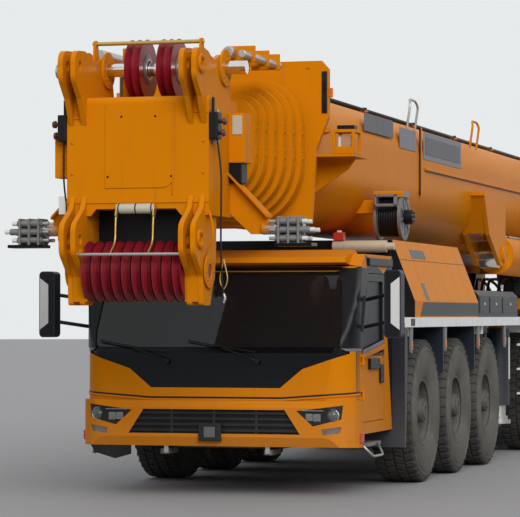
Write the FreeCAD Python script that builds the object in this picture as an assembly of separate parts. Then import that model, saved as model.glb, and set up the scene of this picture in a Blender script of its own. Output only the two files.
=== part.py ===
import FreeCAD, Part
import os
from math import atan2, cos, degrees, sin, sqrt

# An eight-axle mobile crane with its telescopic boom stowed over the cab.
# Millimetres, +Z up. The front faces -Y and the vehicle's left side is +X. The origin is on
# the ground, midway between the foremost head lugs and the tail. A station is a distance
# behind the first axle.

V = FreeCAD.Vector

# Clearances
SEAT = 0.3
PIN_GAP = 0.3
RUN_GAP = 10
DOOR_GAP = 6

# Axles, and the vehicle's ends measured from them
FRONT_AXLES = 3
REAR_AXLES = 5
AXLE_PITCH = 1670
AXLE_GAP = 3560
HEAD_OVERHANG = 5250
REAR_OVERHANG = 1770
BODY_HALF = 1490

AXLE_STATIONS = [i * AXLE_PITCH for i in range(FRONT_AXLES)]
REAR_START = AXLE_STATIONS[-1] + AXLE_GAP
AXLE_STATIONS += [REAR_START + i * AXLE_PITCH for i in range(REAR_AXLES)]
OVERALL_LENGTH = HEAD_OVERHANG + AXLE_STATIONS[-1] + REAR_OVERHANG
AXLE_1_Y = -OVERALL_LENGTH / 2 + HEAD_OVERHANG
TAIL_Y = OVERALL_LENGTH / 2

# Wheels
TYRE_R = 735
TYRE_WIDTH = 445
TREAD_HALF = 195
SHOULDER_R = 702
RIM_R = 318
RIM_WALL = 14
RIM_HALF = 172
HUB_R = 150
DISC_THICK = 22
DISC_DEPTH = 150
TYRE_CENTRE = BODY_HALF - TYRE_WIDTH / 2

# Axle ends
KINGPIN_X = 1150
KINGPIN_R = 38
STUB_R = 75
STUB_LENGTH = 330
HUB_FACE = 160
HUB_CAP = 25
EYE_R = 92
EYE_HALF = 130
FORK_THICK = 45
FORK_R = 105
FORK_HALF = 90
BEAM_HALF = 68
HOUSING_R = 195
HOUSING_HALF = 430
STRUT_X = 800
STRUT_R = 62

# Main frame
FRAME_HALF = 600
FRAME_LOW = 980
FRAME_HIGH = 1500
FRAME_FRONT = -930
THROAT_REAR = -480
THROAT_LOW = -780
NECK_LOW = 440
NECK_HIGH = 580
NECK_FRONT = -2300
NECK_HALF = 560
BRACKET_LOW = 1330
BRACKET_HIGH = 1440
BRACKET_HALF = 95
BRACKET_OUT = 90
TOW_WIDE = 90
TOW_REACH = 290
TOW_THICK = 50
TOW_BORE_R = 22
GUARD_HALF = 1230
GUARD_LOW = 560
GUARD_HIGH = 690
GUARD_THICK = 90

# Deck
DECK_TOP = 1693
DECK_THICK = 60
DECK_EDGE = 100
EDGE_WIDE = 60
DECK_INNER = 640
DECK_FRONT = -760
ARM_WIDTH = 90
LOCKER_TOP = 2000
LOCKER_FRONT = 3080
LOCKER_REAR = 5520
LADDER_STATION = 5620
LADDER_WIDE = 420
LADDER_LOW = 700

# Outriggers: a box across the frame holds one beam for each side
JACK_R = 135
JACK_X = 1335
BOX_HALF = JACK_X - JACK_R - 30
BOX_LOW = 850
BOX_WALL = 30
FRONT_BOX_BEHIND = 1110
REAR_BOX_BEHIND = 765
BEAM_WIDE = 420
BEAM_TALL = 460
BEAM_WALL = 20
JACK_ROD_R = 88
JACK_LOW = 640
FOOT_R = 148
FOOT_THICK = 45
FOOT_LOW = 420
JACK_STROKE = 600
JACK_OVERLAP = 320
JACK_TOP = JACK_LOW + JACK_STROKE + JACK_OVERLAP

# Driver's cab
CAB_HALF = 1350
CAB_WALL = 60
CAB_REAR = -980
CAB_ROOF = 2300
CAB_CORNER = 300
BELT_Z = 1420
BROW_Y = -2270
BROW_Z = 2180
NOSE_Y = -2610
NOSE_Z = 930
MASK_DEPTH = 14
GLASS_INSET = 8
GLASS_THICK = 12
DOOR_FRONT = -2270
DOOR_REAR = -1330
DOOR_LOW = 690
DOOR_TOP = 2120
PANE_DEPTH = 22
PANE_THICK = 10
HINGE_OUT = 16
HINGE_R = 14
HINGE_PIN_R = 7
HINGE_TALL = 25
HINGE_HEIGHTS = (960, 1290)
BUMPER_HALF = CAB_HALF + 25
BUMPER_LOW = 460
BUMPER_HIGH = 905
BUMPER_WALL = 40
BUMPER_OUT = 55
GRILLE_LOW = 590
GRILLE_HIGH = 820
SEAT_X = 700
MIRROR_INNER = 1640
MIRROR_OUTER = 1800
MIRROR_LOW = 1500
MIRROR_HIGH = 2140
MIRROR_FRONT = -2560
MIRROR_DEPTH = 160
MIRROR_ARM_R = 18
WHEEL_RING_R = 225

# Engine and its cover
HOOD_FRONT = -330
HOOD_REAR = 2960
HOOD_TOP = 2485
HOOD_TOP_HALF = 1200
HOOD_HALF = 1440
HOOD_KNEE = 1860
HOOD_WALL = 25
HOOD_SEAM = 10
ENGINE_HALF = 420
ENGINE_HIGH = 2130
ENGINE_FRONT = -180
ENGINE_REAR = 1900
SILENCER_R = 62
SILENCER_Z = 2415

# Slewing upper structure, measured behind or in front of its own centre
SLEW_STATION = AXLE_STATIONS[5] + 1260
RING_R = 950
RING_JOINT = 1720
PLATFORM_LOW = 1800
PLATFORM_HIGH = 1950
PLATFORM_HALF = 1050
PLATFORM_REAR = 3450
PLATFORM_FRONT = 1000
PLATFORM_NOSE = 1450
PLATFORM_NOSE_HALF = 700
CHEEK_INNER = 850
CHEEK_THICK = 60
PIVOT_BEHIND = 2400
PIVOT_STATION = SLEW_STATION + PIVOT_BEHIND
PIVOT_Z = 3300
PIVOT_R = 110
WINCH_BEHIND = 3260
WINCH_STATION = SLEW_STATION + WINCH_BEHIND
WINCH_Z = 2450
WINCH_SHAFT_R = 90
DRUM_R = 230
FLANGE_R = 330
DRUM_HALF = 520
CAB_STAND = 25

# Telescopic boom
SECTIONS = 8
BOOM_HALF = 800
BOOM_LOW = 2590
BOOM_HIGH = 3935
BOOM_TOP_R = 420
BOOM_LOW_R = 580
NEST_STEP = 49
BOOM_WALL = 14
BASE_FRONT = -2350
BASE_REAR = PIVOT_STATION + 350
REAR_STAGGER = 110
FIRST_REAR = BASE_REAR - 1000
COLLAR_PITCH = 150
COLLAR_LENGTH = 128
COLLAR_PROUD = 83
COLLAR_FRONT = -2550
PAD_LENGTH = 120
CROWN_THICK = 60
CROWN_HALF = 1050

# Cable reel on the boom's left side, just above the engine cover
REEL_STATION = 450
REEL_R = 245
REEL_Z = HOOD_TOP + 15 + REEL_R
REEL_INNER = 880
REEL_OUTER = 1150
REEL_DRUM_R = 190

# Boom head
HEAD_HALF = 650
HEAD_FRONT = -4940
HEAD_REAR = -4080
HEAD_LOW = 2580
HEAD_HIGH = 3620
HEAD_WALL = 40
EAR_FRONT = -HEAD_OVERHANG + 10
EAR_THICK = 45
JIB_PIN_BEHIND = 130
TOP_EAR_X = (490, 605)
TOP_SHAFT_Y = -4400
TOP_SHAFT_Z = 3900
SHAFT_R = 60
LOW_SHAFT_Y = -4870
LOW_SHAFT_Z = 2095
SHEAVE_R = 268
GROOVE_DEPTH = 42
LOW_SHEAVES = 10
LOW_SHEAVE_PITCH = 92
LOW_EAR_X = (LOW_SHEAVES * LOW_SHEAVE_PITCH / 2 + EAR_THICK / 2 + 6, 595)
TOP_SHEAVE_X = 148
TOP_SHEAVE_HALF = 70
CHEEK_FOOT = 1800
JIB_PIN_R = 45
JIB_PIN_Z = 2370
JIB_PIN_TOP_Z = 3880
ROLLER_R = 45
ROLLER_Z = 2640
ROLLER_HALF = 170
WING_OUT = 1010
WING_STATION = -4290
COUPLER_Z = 2480
COUPLER_R = 55

# Lift cylinders, one on each side below the boom
LIFT_X = 800
LIFT_R = 250
LIFT_ROD_R = 165
LIFT_FOOT_BEFORE = 300
LIFT_FOOT_STATION = SLEW_STATION - LIFT_FOOT_BEFORE
LIFT_FOOT_Z = 2470
LIFT_HEAD_BEFORE = 6950
LIFT_HEAD_STATION = PIVOT_STATION - LIFT_HEAD_BEFORE
LIFT_HEAD_Z = 2500
LIFT_PIN_R = 80
LIFT_EYE_R = 185
LIFT_EYE_HALF = 120
LIFT_NECK_HALF = 150
LUG_THICK = 50
LUG_X = (LIFT_X - LIFT_EYE_HALF - SEAT - LUG_THICK, LIFT_X + LIFT_EYE_HALF + SEAT)


def at(station):
    """The Y of a station behind the first axle."""
    return AXLE_1_Y + station


def behind_slew(distance):
    """The Y of a distance behind the slewing centre."""
    return at(SLEW_STATION + distance)


def outline(points):
    """Closed wire through (x, y, z, radius) corners, each rounded by its radius."""
    corners = [(V(*p[:3]), p[3]) for p in points]
    count = len(corners)
    starts, ends, middles = [], [], []
    for i, (here, radius) in enumerate(corners):
        to_last = (corners[i - 1][0] - here).normalize()
        to_next = (corners[(i + 1) % count][0] - here).normalize()
        if radius <= 0:
            starts.append(here)
            ends.append(here)
            middles.append(None)
            continue
        half = to_last.getAngle(to_next) / 2
        reach = radius * cos(half) / sin(half)
        middle = (to_last + to_next).normalize()
        starts.append(here + to_last * reach)
        ends.append(here + to_next * reach)
        middles.append(here + middle * (radius / sin(half) - radius))
    edges = []
    for i in range(count):
        if middles[i] is not None:
            edges.append(Part.Arc(starts[i], middles[i], ends[i]).toShape())
        following = starts[(i + 1) % count]
        if (following - ends[i]).Length > 1e-6:
            edges.append(Part.LineSegment(ends[i], following).toShape())
    return Part.Wire(edges)


def plate(axis, low, high, points):
    """Prism between two planes across an axis, from (u, v) or (u, v, radius) corners.

    The corners are (Y, Z) across X, (X, Z) across Y and (X, Y) across Z."""
    full = [(p[0], p[1], p[2] if len(p) > 2 else 0) for p in points]
    if axis == "x":
        wire = outline([(low, u, v, r) for u, v, r in full])
        push = V(high - low, 0, 0)
    elif axis == "y":
        wire = outline([(u, low, v, r) for u, v, r in full])
        push = V(0, high - low, 0)
    else:
        wire = outline([(u, v, low, r) for u, v, r in full])
        push = V(0, 0, high - low)
    return Part.Face(wire).extrude(push)


def stations(rows):
    """Side outline rows (station, z) or (station, z, radius) as (Y, Z) corners."""
    return [(at(row[0]), *row[1:]) for row in rows]


def block(x, y, z):
    """Box between the (low, high) pairs on each axis."""
    return Part.makeBox(x[1] - x[0], y[1] - y[0], z[1] - z[0], V(x[0], y[0], z[0]))


DIRECTION = {"x": V(1, 0, 0), "y": V(0, 1, 0), "z": V(0, 0, 1)}


def rod(axis, radius, centre, low, high):
    """Cylinder along an axis, between low and high on it, centred on the other two."""
    base = {"x": V(low, *centre), "y": V(centre[0], low, centre[1]), "z": V(*centre, low)}[axis]
    return Part.makeCylinder(radius, high - low, base, DIRECTION[axis])


def turned_x(profile, y, z):
    """Solid of revolution about a line along X, from (x, radius) corners."""
    wire = Part.makePolygon([V(x, y, z + r) for x, r in profile + profile[:1]])
    return Part.Face(wire).revolve(V(0, y, z), V(1, 0, 0), 360)


def join(shapes):
    """One solid from shapes that overlap or share faces."""
    whole = shapes[0].fuse(shapes[1:]) if len(shapes) > 1 else shapes[0]
    return whole.removeSplitter()


def cut(shape, tools):
    return shape.cut(tools if isinstance(tools, list) else [tools])


def together(shapes):
    """Solids that share a node and don't touch."""
    solids = [solid for shape in shapes for solid in shape.Solids]
    return Part.makeCompound(solids)


def mirrored(shape):
    return shape.mirror(V(0, 0, 0), V(1, 0, 0))


def both_sides(shape):
    """A left-hand shape and its mirror image on the right."""
    return [shape, mirrored(shape)]


def paired(shapes):
    """Each left-hand shape with its mirror image, in one list."""
    return [piece for shape in shapes for piece in both_sides(shape)]


def inset(points, distance):
    """The corners of a closed polygon moved inward by a distance."""
    area = sum(points[i - 1][0] * p[1] - p[0] * points[i - 1][1] for i, p in enumerate(points))
    side = 1 if area > 0 else -1
    lines = []
    for i, (u, v) in enumerate(points):
        nu, nv = points[(i + 1) % len(points)]
        length = sqrt((nu - u) ** 2 + (nv - v) ** 2)
        du, dv = (nu - u) / length, (nv - v) / length
        lines.append((u - dv * distance * side, v + du * distance * side, du, dv))
    moved = []
    for i, (u, v, du, dv) in enumerate(lines):
        pu, pv, pdu, pdv = lines[i - 1]
        along = ((u - pu) * dv - (v - pv) * du) / (pdu * dv - pdv * du)
        moved.append((pu + pdu * along, pv + pdv * along))
    return moved


def rounded(points, radius):
    return [(u, v, radius) for u, v in points]


PARTS = {}


# Wheels: tyre and rim are two solids, running on the stub of the knuckle or axle

def wheel(y):
    inner = TYRE_CENTRE - TYRE_WIDTH / 2
    outer = TYRE_CENTRE + TYRE_WIDTH / 2
    widest_r = TYRE_R * 0.74
    tyre = turned_x([
        (TYRE_CENTRE - RIM_HALF, RIM_R + SEAT), (inner, widest_r),
        (TYRE_CENTRE - TREAD_HALF - 12, SHOULDER_R), (TYRE_CENTRE - TREAD_HALF + 20, TYRE_R),
        (TYRE_CENTRE + TREAD_HALF - 20, TYRE_R), (TYRE_CENTRE + TREAD_HALF + 12, SHOULDER_R),
        (outer, widest_r), (TYRE_CENTRE + RIM_HALF, RIM_R + SEAT)], y, TYRE_R)
    disc = outer - DISC_DEPTH
    rim_low = TYRE_CENTRE - RIM_HALF
    rim_high = TYRE_CENTRE + RIM_HALF
    bore = STUB_R + PIN_GAP
    well = RIM_R - RIM_WALL
    bore_end = KINGPIN_X + STUB_LENGTH - SEAT - HUB_CAP
    rim = turned_x([
        (rim_low, RIM_R), (rim_high, RIM_R), (rim_high, well), (disc + DISC_THICK, well),
        (disc + DISC_THICK, HUB_R), (outer - 30, HUB_R), (outer - 8, HUB_R - 40), (outer - 8, 0),
        (bore_end, 0), (bore_end, bore), (KINGPIN_X + HUB_FACE, bore),
        (KINGPIN_X + HUB_FACE, HUB_R - 30), (disc, HUB_R - 30), (disc, well),
        (rim_low, well)], y, TYRE_R)
    return [tyre, rim]


def stub(y):
    tip = KINGPIN_X + STUB_LENGTH - HUB_CAP - 2 * SEAT
    shoulder = KINGPIN_X + 80
    return [rod("x", STUB_R, (y, TYRE_R), shoulder, tip),
            rod("x", HUB_R - 20, (y, TYRE_R), shoulder, KINGPIN_X + HUB_FACE - SEAT)]


def knuckle(y):
    """Fork round the axle's eye, with its kingpin and the wheel's stub."""
    reach = EYE_HALF + SEAT
    outer = reach + FORK_THICK
    flange = KINGPIN_X + HUB_FACE - SEAT
    web_x = KINGPIN_X + EYE_R + 20
    arms = []
    for low, high in ((reach, outer), (-outer, -reach)):
        arms.append(rod("z", FORK_R, (KINGPIN_X, y), TYRE_R + low, TYRE_R + high))
        arms.append(block((KINGPIN_X, flange), (y - FORK_HALF, y + FORK_HALF),
                          (TYRE_R + low, TYRE_R + high)))
    web = block((web_x, flange), (y - FORK_HALF, y + FORK_HALF),
                (TYRE_R - reach - 1, TYRE_R + reach + 1))
    pin = rod("z", KINGPIN_R, (KINGPIN_X, y), TYRE_R - outer, TYRE_R + outer)
    spindle = rod("x", STUB_R, (y, TYRE_R), web_x, KINGPIN_X + STUB_LENGTH - HUB_CAP - 2 * SEAT)
    return join(arms + [web, pin, spindle])


def axle_beam(y, steered):
    """Drive housing with its arms, spring struts and the eyes or stubs at its ends."""
    arm_end = KINGPIN_X if steered else KINGPIN_X + 81
    trumpet = HOUSING_R - 85
    pieces = [turned_x([(-HOUSING_HALF, 0), (-HOUSING_HALF, trumpet), (-230, HOUSING_R),
                        (230, HOUSING_R), (HOUSING_HALF, trumpet), (HOUSING_HALF, 0)], y, TYRE_R),
              block((-arm_end, arm_end), (y - BEAM_HALF, y + BEAM_HALF),
                    (TYRE_R - BEAM_HALF, TYRE_R + BEAM_HALF))]
    strut = rod("z", STRUT_R, (STRUT_X, y), TYRE_R, BRACKET_LOW - SEAT)
    if not steered:
        return join(pieces + paired(stub(y) + [strut]))
    eye = rod("z", EYE_R, (KINGPIN_X, y), TYRE_R - EYE_HALF, TYRE_R + EYE_HALF)
    bore = rod("z", KINGPIN_R + PIN_GAP, (KINGPIN_X, y), TYRE_R - EYE_HALF, TYRE_R + EYE_HALF)
    return cut(join(pieces + paired([eye, strut])), both_sides(bore))


beams = []
for index, station in enumerate(AXLE_STATIONS):
    number = index + 1
    steered = index < FRONT_AXLES
    beams.append(axle_beam(at(station), steered))
    left = wheel(at(station))
    PARTS[f"wheel_{number}_left"] = together(left)
    PARTS[f"wheel_{number}_right"] = together([mirrored(solid) for solid in left])
    if steered:
        piece = knuckle(at(station))
        PARTS[f"knuckle_{number}_left"] = piece
        PARTS[f"knuckle_{number}_right"] = mirrored(piece)
PARTS["axle_beams"] = together(beams)


# Main frame: neck, throat and rails between two outrigger boxes, each seated on the next

CHANNEL_LOW = BOX_LOW + BOX_WALL
CHANNEL_HIGH = CHANNEL_LOW + BEAM_TALL + SEAT + RUN_GAP
CHANNEL_WIDE = BEAM_WIDE + 2 * RUN_GAP
BOX_LENGTH = 2 * CHANNEL_WIDE + 3 * BOX_WALL
BOX_STATIONS = {"front": AXLE_STATIONS[FRONT_AXLES - 1] + FRONT_BOX_BEHIND,
                "rear": AXLE_STATIONS[-1] + REAR_BOX_BEHIND}
TOW_X = NECK_HALF - TOW_WIDE / 2
TOW_Y = at(NECK_FRONT) - TOW_REACH + TOW_WIDE / 2


def channel_start(box, side):
    """The Y where a beam's channel starts: left beams lie in front of right ones."""
    order = 0 if side == "left" else 1
    return at(BOX_STATIONS[box]) + BOX_WALL + order * (CHANNEL_WIDE + BOX_WALL)


def outrigger_box(box):
    start = at(BOX_STATIONS[box])
    case = block((-BOX_HALF, BOX_HALF), (start, start + BOX_LENGTH), (BOX_LOW, FRAME_HIGH))
    tools = []
    for side in ("left", "right"):
        y = channel_start(box, side)
        tools.append(block((-BOX_HALF - 1, BOX_HALF + 1), (y, y + CHANNEL_WIDE),
                           (CHANNEL_LOW, CHANNEL_HIGH)))
    return cut(case, tools)


def tow_lug():
    low = NECK_LOW - SEAT - TOW_THICK
    tongue = [(TOW_X - TOW_WIDE / 2, at(NECK_FRONT) + 20), (TOW_X - TOW_WIDE / 2, TOW_Y - 45, 35),
              (TOW_X + TOW_WIDE / 2, TOW_Y - 45, 35), (TOW_X + TOW_WIDE / 2, at(NECK_FRONT) + 20)]
    bore = rod("z", TOW_BORE_R, (TOW_X, TOW_Y), low - 1, NECK_LOW)
    return cut(plate("z", low, NECK_LOW - SEAT, tongue), bore)


def rear_guard():
    """Bar across the tail, on two hangers below the rear outrigger box."""
    bar = block((-GUARD_HALF, GUARD_HALF), (TAIL_Y - GUARD_THICK, TAIL_Y), (GUARD_LOW, GUARD_HIGH))
    top = BOX_LOW - SEAT
    hanger = plate("x", 380, 430, [(TAIL_Y - 50, GUARD_LOW), (TAIL_Y - 50, top),
                                   (TAIL_Y - 420, top), (TAIL_Y - 130, GUARD_LOW)])
    return join([bar] + both_sides(hanger))


def chassis_frame():
    throat = stations([(FRAME_FRONT, NECK_LOW), (FRAME_FRONT, FRAME_HIGH),
                       (THROAT_REAR, FRAME_HIGH), (THROAT_REAR, FRAME_LOW),
                       (THROAT_LOW, NECK_LOW)])
    solids = [block((-FRAME_HALF, FRAME_HALF), (at(NECK_FRONT) + SEAT, at(FRAME_FRONT) - SEAT),
                    (NECK_LOW, NECK_HIGH)),
              plate("x", -FRAME_HALF, FRAME_HALF, throat)]
    rails = [(at(THROAT_REAR), at(BOX_STATIONS["front"])),
             (at(BOX_STATIONS["front"]) + BOX_LENGTH, at(BOX_STATIONS["rear"])),
             (at(BOX_STATIONS["rear"]) + BOX_LENGTH, TAIL_Y)]
    for start, end in rails:
        last = end if end == TAIL_Y else end - SEAT
        solids.append(block((-FRAME_HALF, FRAME_HALF), (start + SEAT, last),
                            (FRAME_LOW, FRAME_HIGH)))
    solids += [outrigger_box(box) for box in BOX_STATIONS]
    solids.append(rod("z", RING_R, (0, at(SLEW_STATION)), FRAME_HIGH + SEAT, RING_JOINT))
    root = FRAME_HALF + SEAT
    tip = STRUT_X + BRACKET_OUT
    arm = [(root, BRACKET_LOW), (tip, BRACKET_LOW), (tip, BRACKET_HIGH - 50),
           (tip - 60, BRACKET_HIGH), (root, BRACKET_HIGH)]
    for station in AXLE_STATIONS:
        y = at(station)
        solids += both_sides(plate("y", y - BRACKET_HALF, y + BRACKET_HALF, arm))
    solids += both_sides(tow_lug())
    solids.append(rear_guard())
    return together(solids)


PARTS["chassis_frame"] = chassis_frame()


def outrigger_beam(box):
    """Left box beam with its jack barrel at the outer end."""
    y0 = channel_start(box, "left") + RUN_GAP
    y1 = y0 + BEAM_WIDE
    z0 = CHANNEL_LOW + SEAT
    z1 = z0 + BEAM_TALL
    middle = (y0 + y1) / 2
    beam = block((-JACK_X, JACK_X), (y0, y1), (z0, z1))
    hollow = block((-JACK_X - 1, JACK_X - JACK_R - 10), (y0 + BEAM_WALL, y1 - BEAM_WALL),
                   (z0 + BEAM_WALL, z1 - BEAM_WALL))
    barrel = rod("z", JACK_R, (JACK_X, middle), JACK_LOW, JACK_TOP)
    bore = rod("z", JACK_ROD_R + PIN_GAP, (JACK_X, middle), JACK_LOW - 1, JACK_TOP - 30)
    return cut(join([cut(beam, hollow), barrel]), bore)


def outrigger_jack(box):
    """Left jack rod with its round foot."""
    middle = channel_start(box, "left") + RUN_GAP + BEAM_WIDE / 2
    top = FOOT_LOW + FOOT_THICK
    return join([rod("z", JACK_ROD_R, (JACK_X, middle), top, JACK_TOP - 60),
                 rod("z", FOOT_R, (JACK_X, middle), FOOT_LOW, top),
                 rod("z", JACK_ROD_R + 25, (JACK_X, middle), top, top + FOOT_THICK)])


for box in BOX_STATIONS:
    order = V(0, channel_start(box, "right") - channel_start(box, "left"), 0)
    for name, piece in (("beam", outrigger_beam(box)), ("jack", outrigger_jack(box))):
        PARTS[f"outrigger_{name}_{box}_left"] = piece
        PARTS[f"outrigger_{name}_{box}_right"] = mirrored(piece).translated(order)


# Deck: side plates with edge beams on cross arms that lie on the frame, lockers and ladders

ARM_STATIONS = [DECK_FRONT + 140, HOOD_REAR + 240, REAR_START - 850]
ARM_STATIONS += [REAR_START + 900 + i * AXLE_PITCH for i in (0, 1, 3)] + [AXLE_STATIONS[-1] + 420]


def ladder():
    """Three-rung ladder that hangs from the left edge beam."""
    y0, y1 = at(LADDER_STATION), at(LADDER_STATION + LADDER_WIDE)
    rail = 30
    out = BODY_HALF - 10
    pieces = [block((out - rail, out), (y, y + rail), (LADDER_LOW, DECK_TOP - DECK_EDGE - SEAT))
              for y in (y0, y1 - rail)]
    for i in range(3):
        z = LADDER_LOW + 40 + i * 300
        pieces.append(block((out - 90, out - 2), (y0 + 10, y1 - 10), (z, z + 24)))
    return join(pieces)


def deck():
    low = DECK_TOP - DECK_THICK
    edge = BODY_HALF - EDGE_WIDE
    ring_clear = RING_R + 70
    near_ring = (SLEW_STATION - ring_clear, SLEW_STATION + ring_clear)
    rear = TAIL_Y - 20
    plates = [(DECK_INNER, at(DECK_FRONT), at(near_ring[0]) - SEAT),
              (ring_clear, at(near_ring[0]), at(near_ring[1])),
              (DECK_INNER, at(near_ring[1]) + SEAT, rear)]
    solids = [block((inner, edge - SEAT), (y0, y1), (low, DECK_TOP)) for inner, y0, y1 in plates]
    solids.append(block((edge, BODY_HALF), (at(DECK_FRONT), rear),
                        (DECK_TOP - DECK_EDGE, DECK_TOP)))
    floor = DECK_TOP + SEAT
    locker = [(700, floor), (BODY_HALF - 70, floor), (BODY_HALF - 70, LOCKER_TOP - 60),
              (BODY_HALF - 130, LOCKER_TOP), (700, LOCKER_TOP)]
    solids.append(plate("y", at(LOCKER_FRONT), at(LOCKER_REAR), locker))
    solids.append(ladder())
    arms = [block((-edge + SEAT, edge - SEAT), (at(station), at(station) + ARM_WIDTH),
                  (FRAME_HIGH + SEAT, low - SEAT)) for station in ARM_STATIONS]
    return together(paired(solids) + arms)


PARTS["deck"] = deck()


# Mudguards: a panel behind the cab and flaps hanging from the deck between the wheels

FLAP_STATIONS = [AXLE_PITCH * (i + 0.5) for i in range(FRONT_AXLES - 1)]
FLAP_STATIONS += [REAR_START + AXLE_PITCH * (i + 0.5) for i in range(REAR_AXLES - 1)]
FLAP_INNER = 1060
FLAP_LOW = 1040


def mudguards():
    back = at(CAB_REAR) + SEAT
    top = DECK_TOP - DECK_EDGE - SEAT
    solids = [plate("x", 680, BODY_HALF - 10,
                    [(back, 400), (back, top), (back + 125, top), (back + 125, 1180),
                     (back + 50, 400)])]
    for station in FLAP_STATIONS:
        flap = [(FLAP_INNER, top), (BODY_HALF - 5, top), (BODY_HALF - 5, FLAP_LOW + 80),
                (BODY_HALF - 90, FLAP_LOW), (FLAP_INNER, FLAP_LOW)]
        solids.append(plate("y", at(station) - 12, at(station) + 12, flap))
    return together(paired(solids))


PARTS["mudguards"] = mudguards()


# Driver's cab: one shell profile gives the body, the doors, the glass and the bumper's seat

CAB_SIDE = stations([(-2540, NECK_HIGH + SEAT), (NOSE_Y, NOSE_Z), (NOSE_Y + 15, BELT_Z - 60),
                     (BROW_Y, BROW_Z), (-2120, CAB_ROOF), (CAB_REAR, CAB_ROOF),
                     (CAB_REAR, NECK_HIGH + SEAT)])
DOOR = stations([(DOOR_FRONT, DOOR_LOW), (DOOR_FRONT, BELT_Z - 20), (-2010, DOOR_TOP),
                 (DOOR_REAR, DOOR_TOP), (DOOR_REAR, DOOR_LOW)])
DOOR_WINDOW = stations([(-2205, BELT_Z), (-1975, DOOR_TOP - 75), (-1400, DOOR_TOP - 75),
                        (-1400, BELT_Z - 90), (-2205, BELT_Z - 90)])
WINDSCREEN = [(115 - CAB_HALF, BELT_Z - 10), (CAB_HALF - 115, BELT_Z - 10),
              (CAB_HALF - 185, BROW_Z - 50), (185 - CAB_HALF, BROW_Z - 50)]
REAR_WINDOW = [(-520, 1520), (520, 1520), (520, 2080), (-520, 2080)]
MASK = [(60 - CAB_HALF, 1350), (495 - CAB_HALF, 1205), (-640, 1025), (640, 1025),
        (CAB_HALF - 495, 1205), (CAB_HALF - 60, 1350), (CAB_HALF - 60, BELT_Z),
        (60 - CAB_HALF, BELT_Z)]
CAB_AHEAD = (at(NOSE_Y) - 190, at(NOSE_Y) + 310)
CAB_FRONT_HALF = (at(NOSE_Y) - 190, at(NOSE_Y) + 610)


def cab_form(moved):
    """The cab's outer form, moved inward by a distance."""
    half = CAB_HALF - moved
    front = at(NOSE_Y) + moved
    corner = CAB_CORNER - moved
    rear = at(CAB_REAR) + 100
    plan = [(-half, rear), (-half, front, corner), (half, front, corner), (half, rear)]
    body = plate("x", -half, half, inset(CAB_SIDE, moved))
    return body.common(plate("z", 0, CAB_ROOF + 200, plan))


GLASS_LAYER = cut(cab_form(GLASS_INSET), cab_form(GLASS_INSET + GLASS_THICK))
HINGE_X = CAB_HALF + HINGE_OUT
HINGE_Y = at(DOOR_FRONT) + DOOR_GAP / 2


def door_knuckle(z):
    """The door's knuckle of one hinge, bored for the pin."""
    leaf = block((CAB_HALF - 5, HINGE_X), (HINGE_Y + DOOR_GAP / 2, HINGE_Y + 45),
                 (z - HINGE_TALL, z + HINGE_TALL))
    eye = rod("z", HINGE_R, (HINGE_X, HINGE_Y), z - HINGE_TALL, z + HINGE_TALL)
    bore = rod("z", HINGE_PIN_R + PIN_GAP, (HINGE_X, HINGE_Y),
               z - HINGE_TALL - 1, z + HINGE_TALL + 1)
    return cut(join([leaf, eye]), bore)


def cab_knuckles(z):
    """The cab's two knuckles of one hinge, with the pin through both."""
    pieces = [rod("z", HINGE_PIN_R, (HINGE_X, HINGE_Y), z - 2 * HINGE_TALL, z + 2 * HINGE_TALL)]
    for low, high in ((-2 * HINGE_TALL, -HINGE_TALL - SEAT), (HINGE_TALL + SEAT, 2 * HINGE_TALL)):
        pieces.append(rod("z", HINGE_R, (HINGE_X, HINGE_Y), z + low, z + high))
        pieces.append(block((CAB_HALF - 5, HINGE_X), (HINGE_Y - 45, HINGE_Y - DOOR_GAP / 2),
                            (z + low, z + high)))
    return join(pieces)


def entry_step():
    """Tread below the left door on a hanger from the cab's sill."""
    y = (at(-1900), at(-1380))
    tread = block((1050, CAB_HALF - 20), y, (450, 485))
    return join([tread, block((1050, 1090), y, (480, NECK_HIGH + 10))])


def carrier_cab():
    shell = cut(cab_form(0), cab_form(CAB_WALL))
    recess = cut(plate("y", *CAB_AHEAD, MASK), cab_form(MASK_DEPTH))
    door_tool = plate("x", CAB_HALF - CAB_WALL - 20, CAB_HALF + 20, DOOR)
    shell = cut(shell, [recess, plate("y", *CAB_FRONT_HALF, rounded(WINDSCREEN, 70)),
                        plate("y", at(CAB_REAR) - 100, at(CAB_REAR) + 50, rounded(REAR_WINDOW, 60))]
                + both_sides(door_tool))
    visor = plate("x", 120 - CAB_HALF, CAB_HALF - 120,
                  stations([(-2420, 2215), (-2400, 2265, 20), (-2060, 2345, 30), (-1900, 2299),
                            (-2130, 2299), (-2250, 2195)]))
    return join([shell, visor] + paired([entry_step()] + [cab_knuckles(z) for z in HINGE_HEIGHTS]))


def cab_glass():
    screen = plate("y", *CAB_FRONT_HALF, rounded(inset(WINDSCREEN, SEAT), 70))
    back = plate("y", at(CAB_REAR) - 30, at(CAB_REAR) - 18, rounded(inset(REAR_WINDOW, SEAT), 60))
    return together([GLASS_LAYER.common(screen), back])


def door():
    """The left door: the cab's own wall inside its outline, with a pane."""
    wall = plate("x", CAB_HALF - CAB_WALL, CAB_HALF, inset(DOOR, DOOR_GAP))
    window = plate("x", CAB_HALF - CAB_WALL - 1, CAB_HALF + 1, rounded(DOOR_WINDOW, 50))
    handle = block((CAB_HALF - 12, CAB_HALF + 1), (at(-1500), at(-1370)), (1090, 1160))
    wall = cut(wall, [window, handle])
    wall = join([wall] + [door_knuckle(z) for z in HINGE_HEIGHTS])
    pane = plate("x", CAB_HALF - PANE_DEPTH - PANE_THICK, CAB_HALF - PANE_DEPTH,
                 rounded(inset(DOOR_WINDOW, SEAT), 50))
    return [wall, pane]


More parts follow.
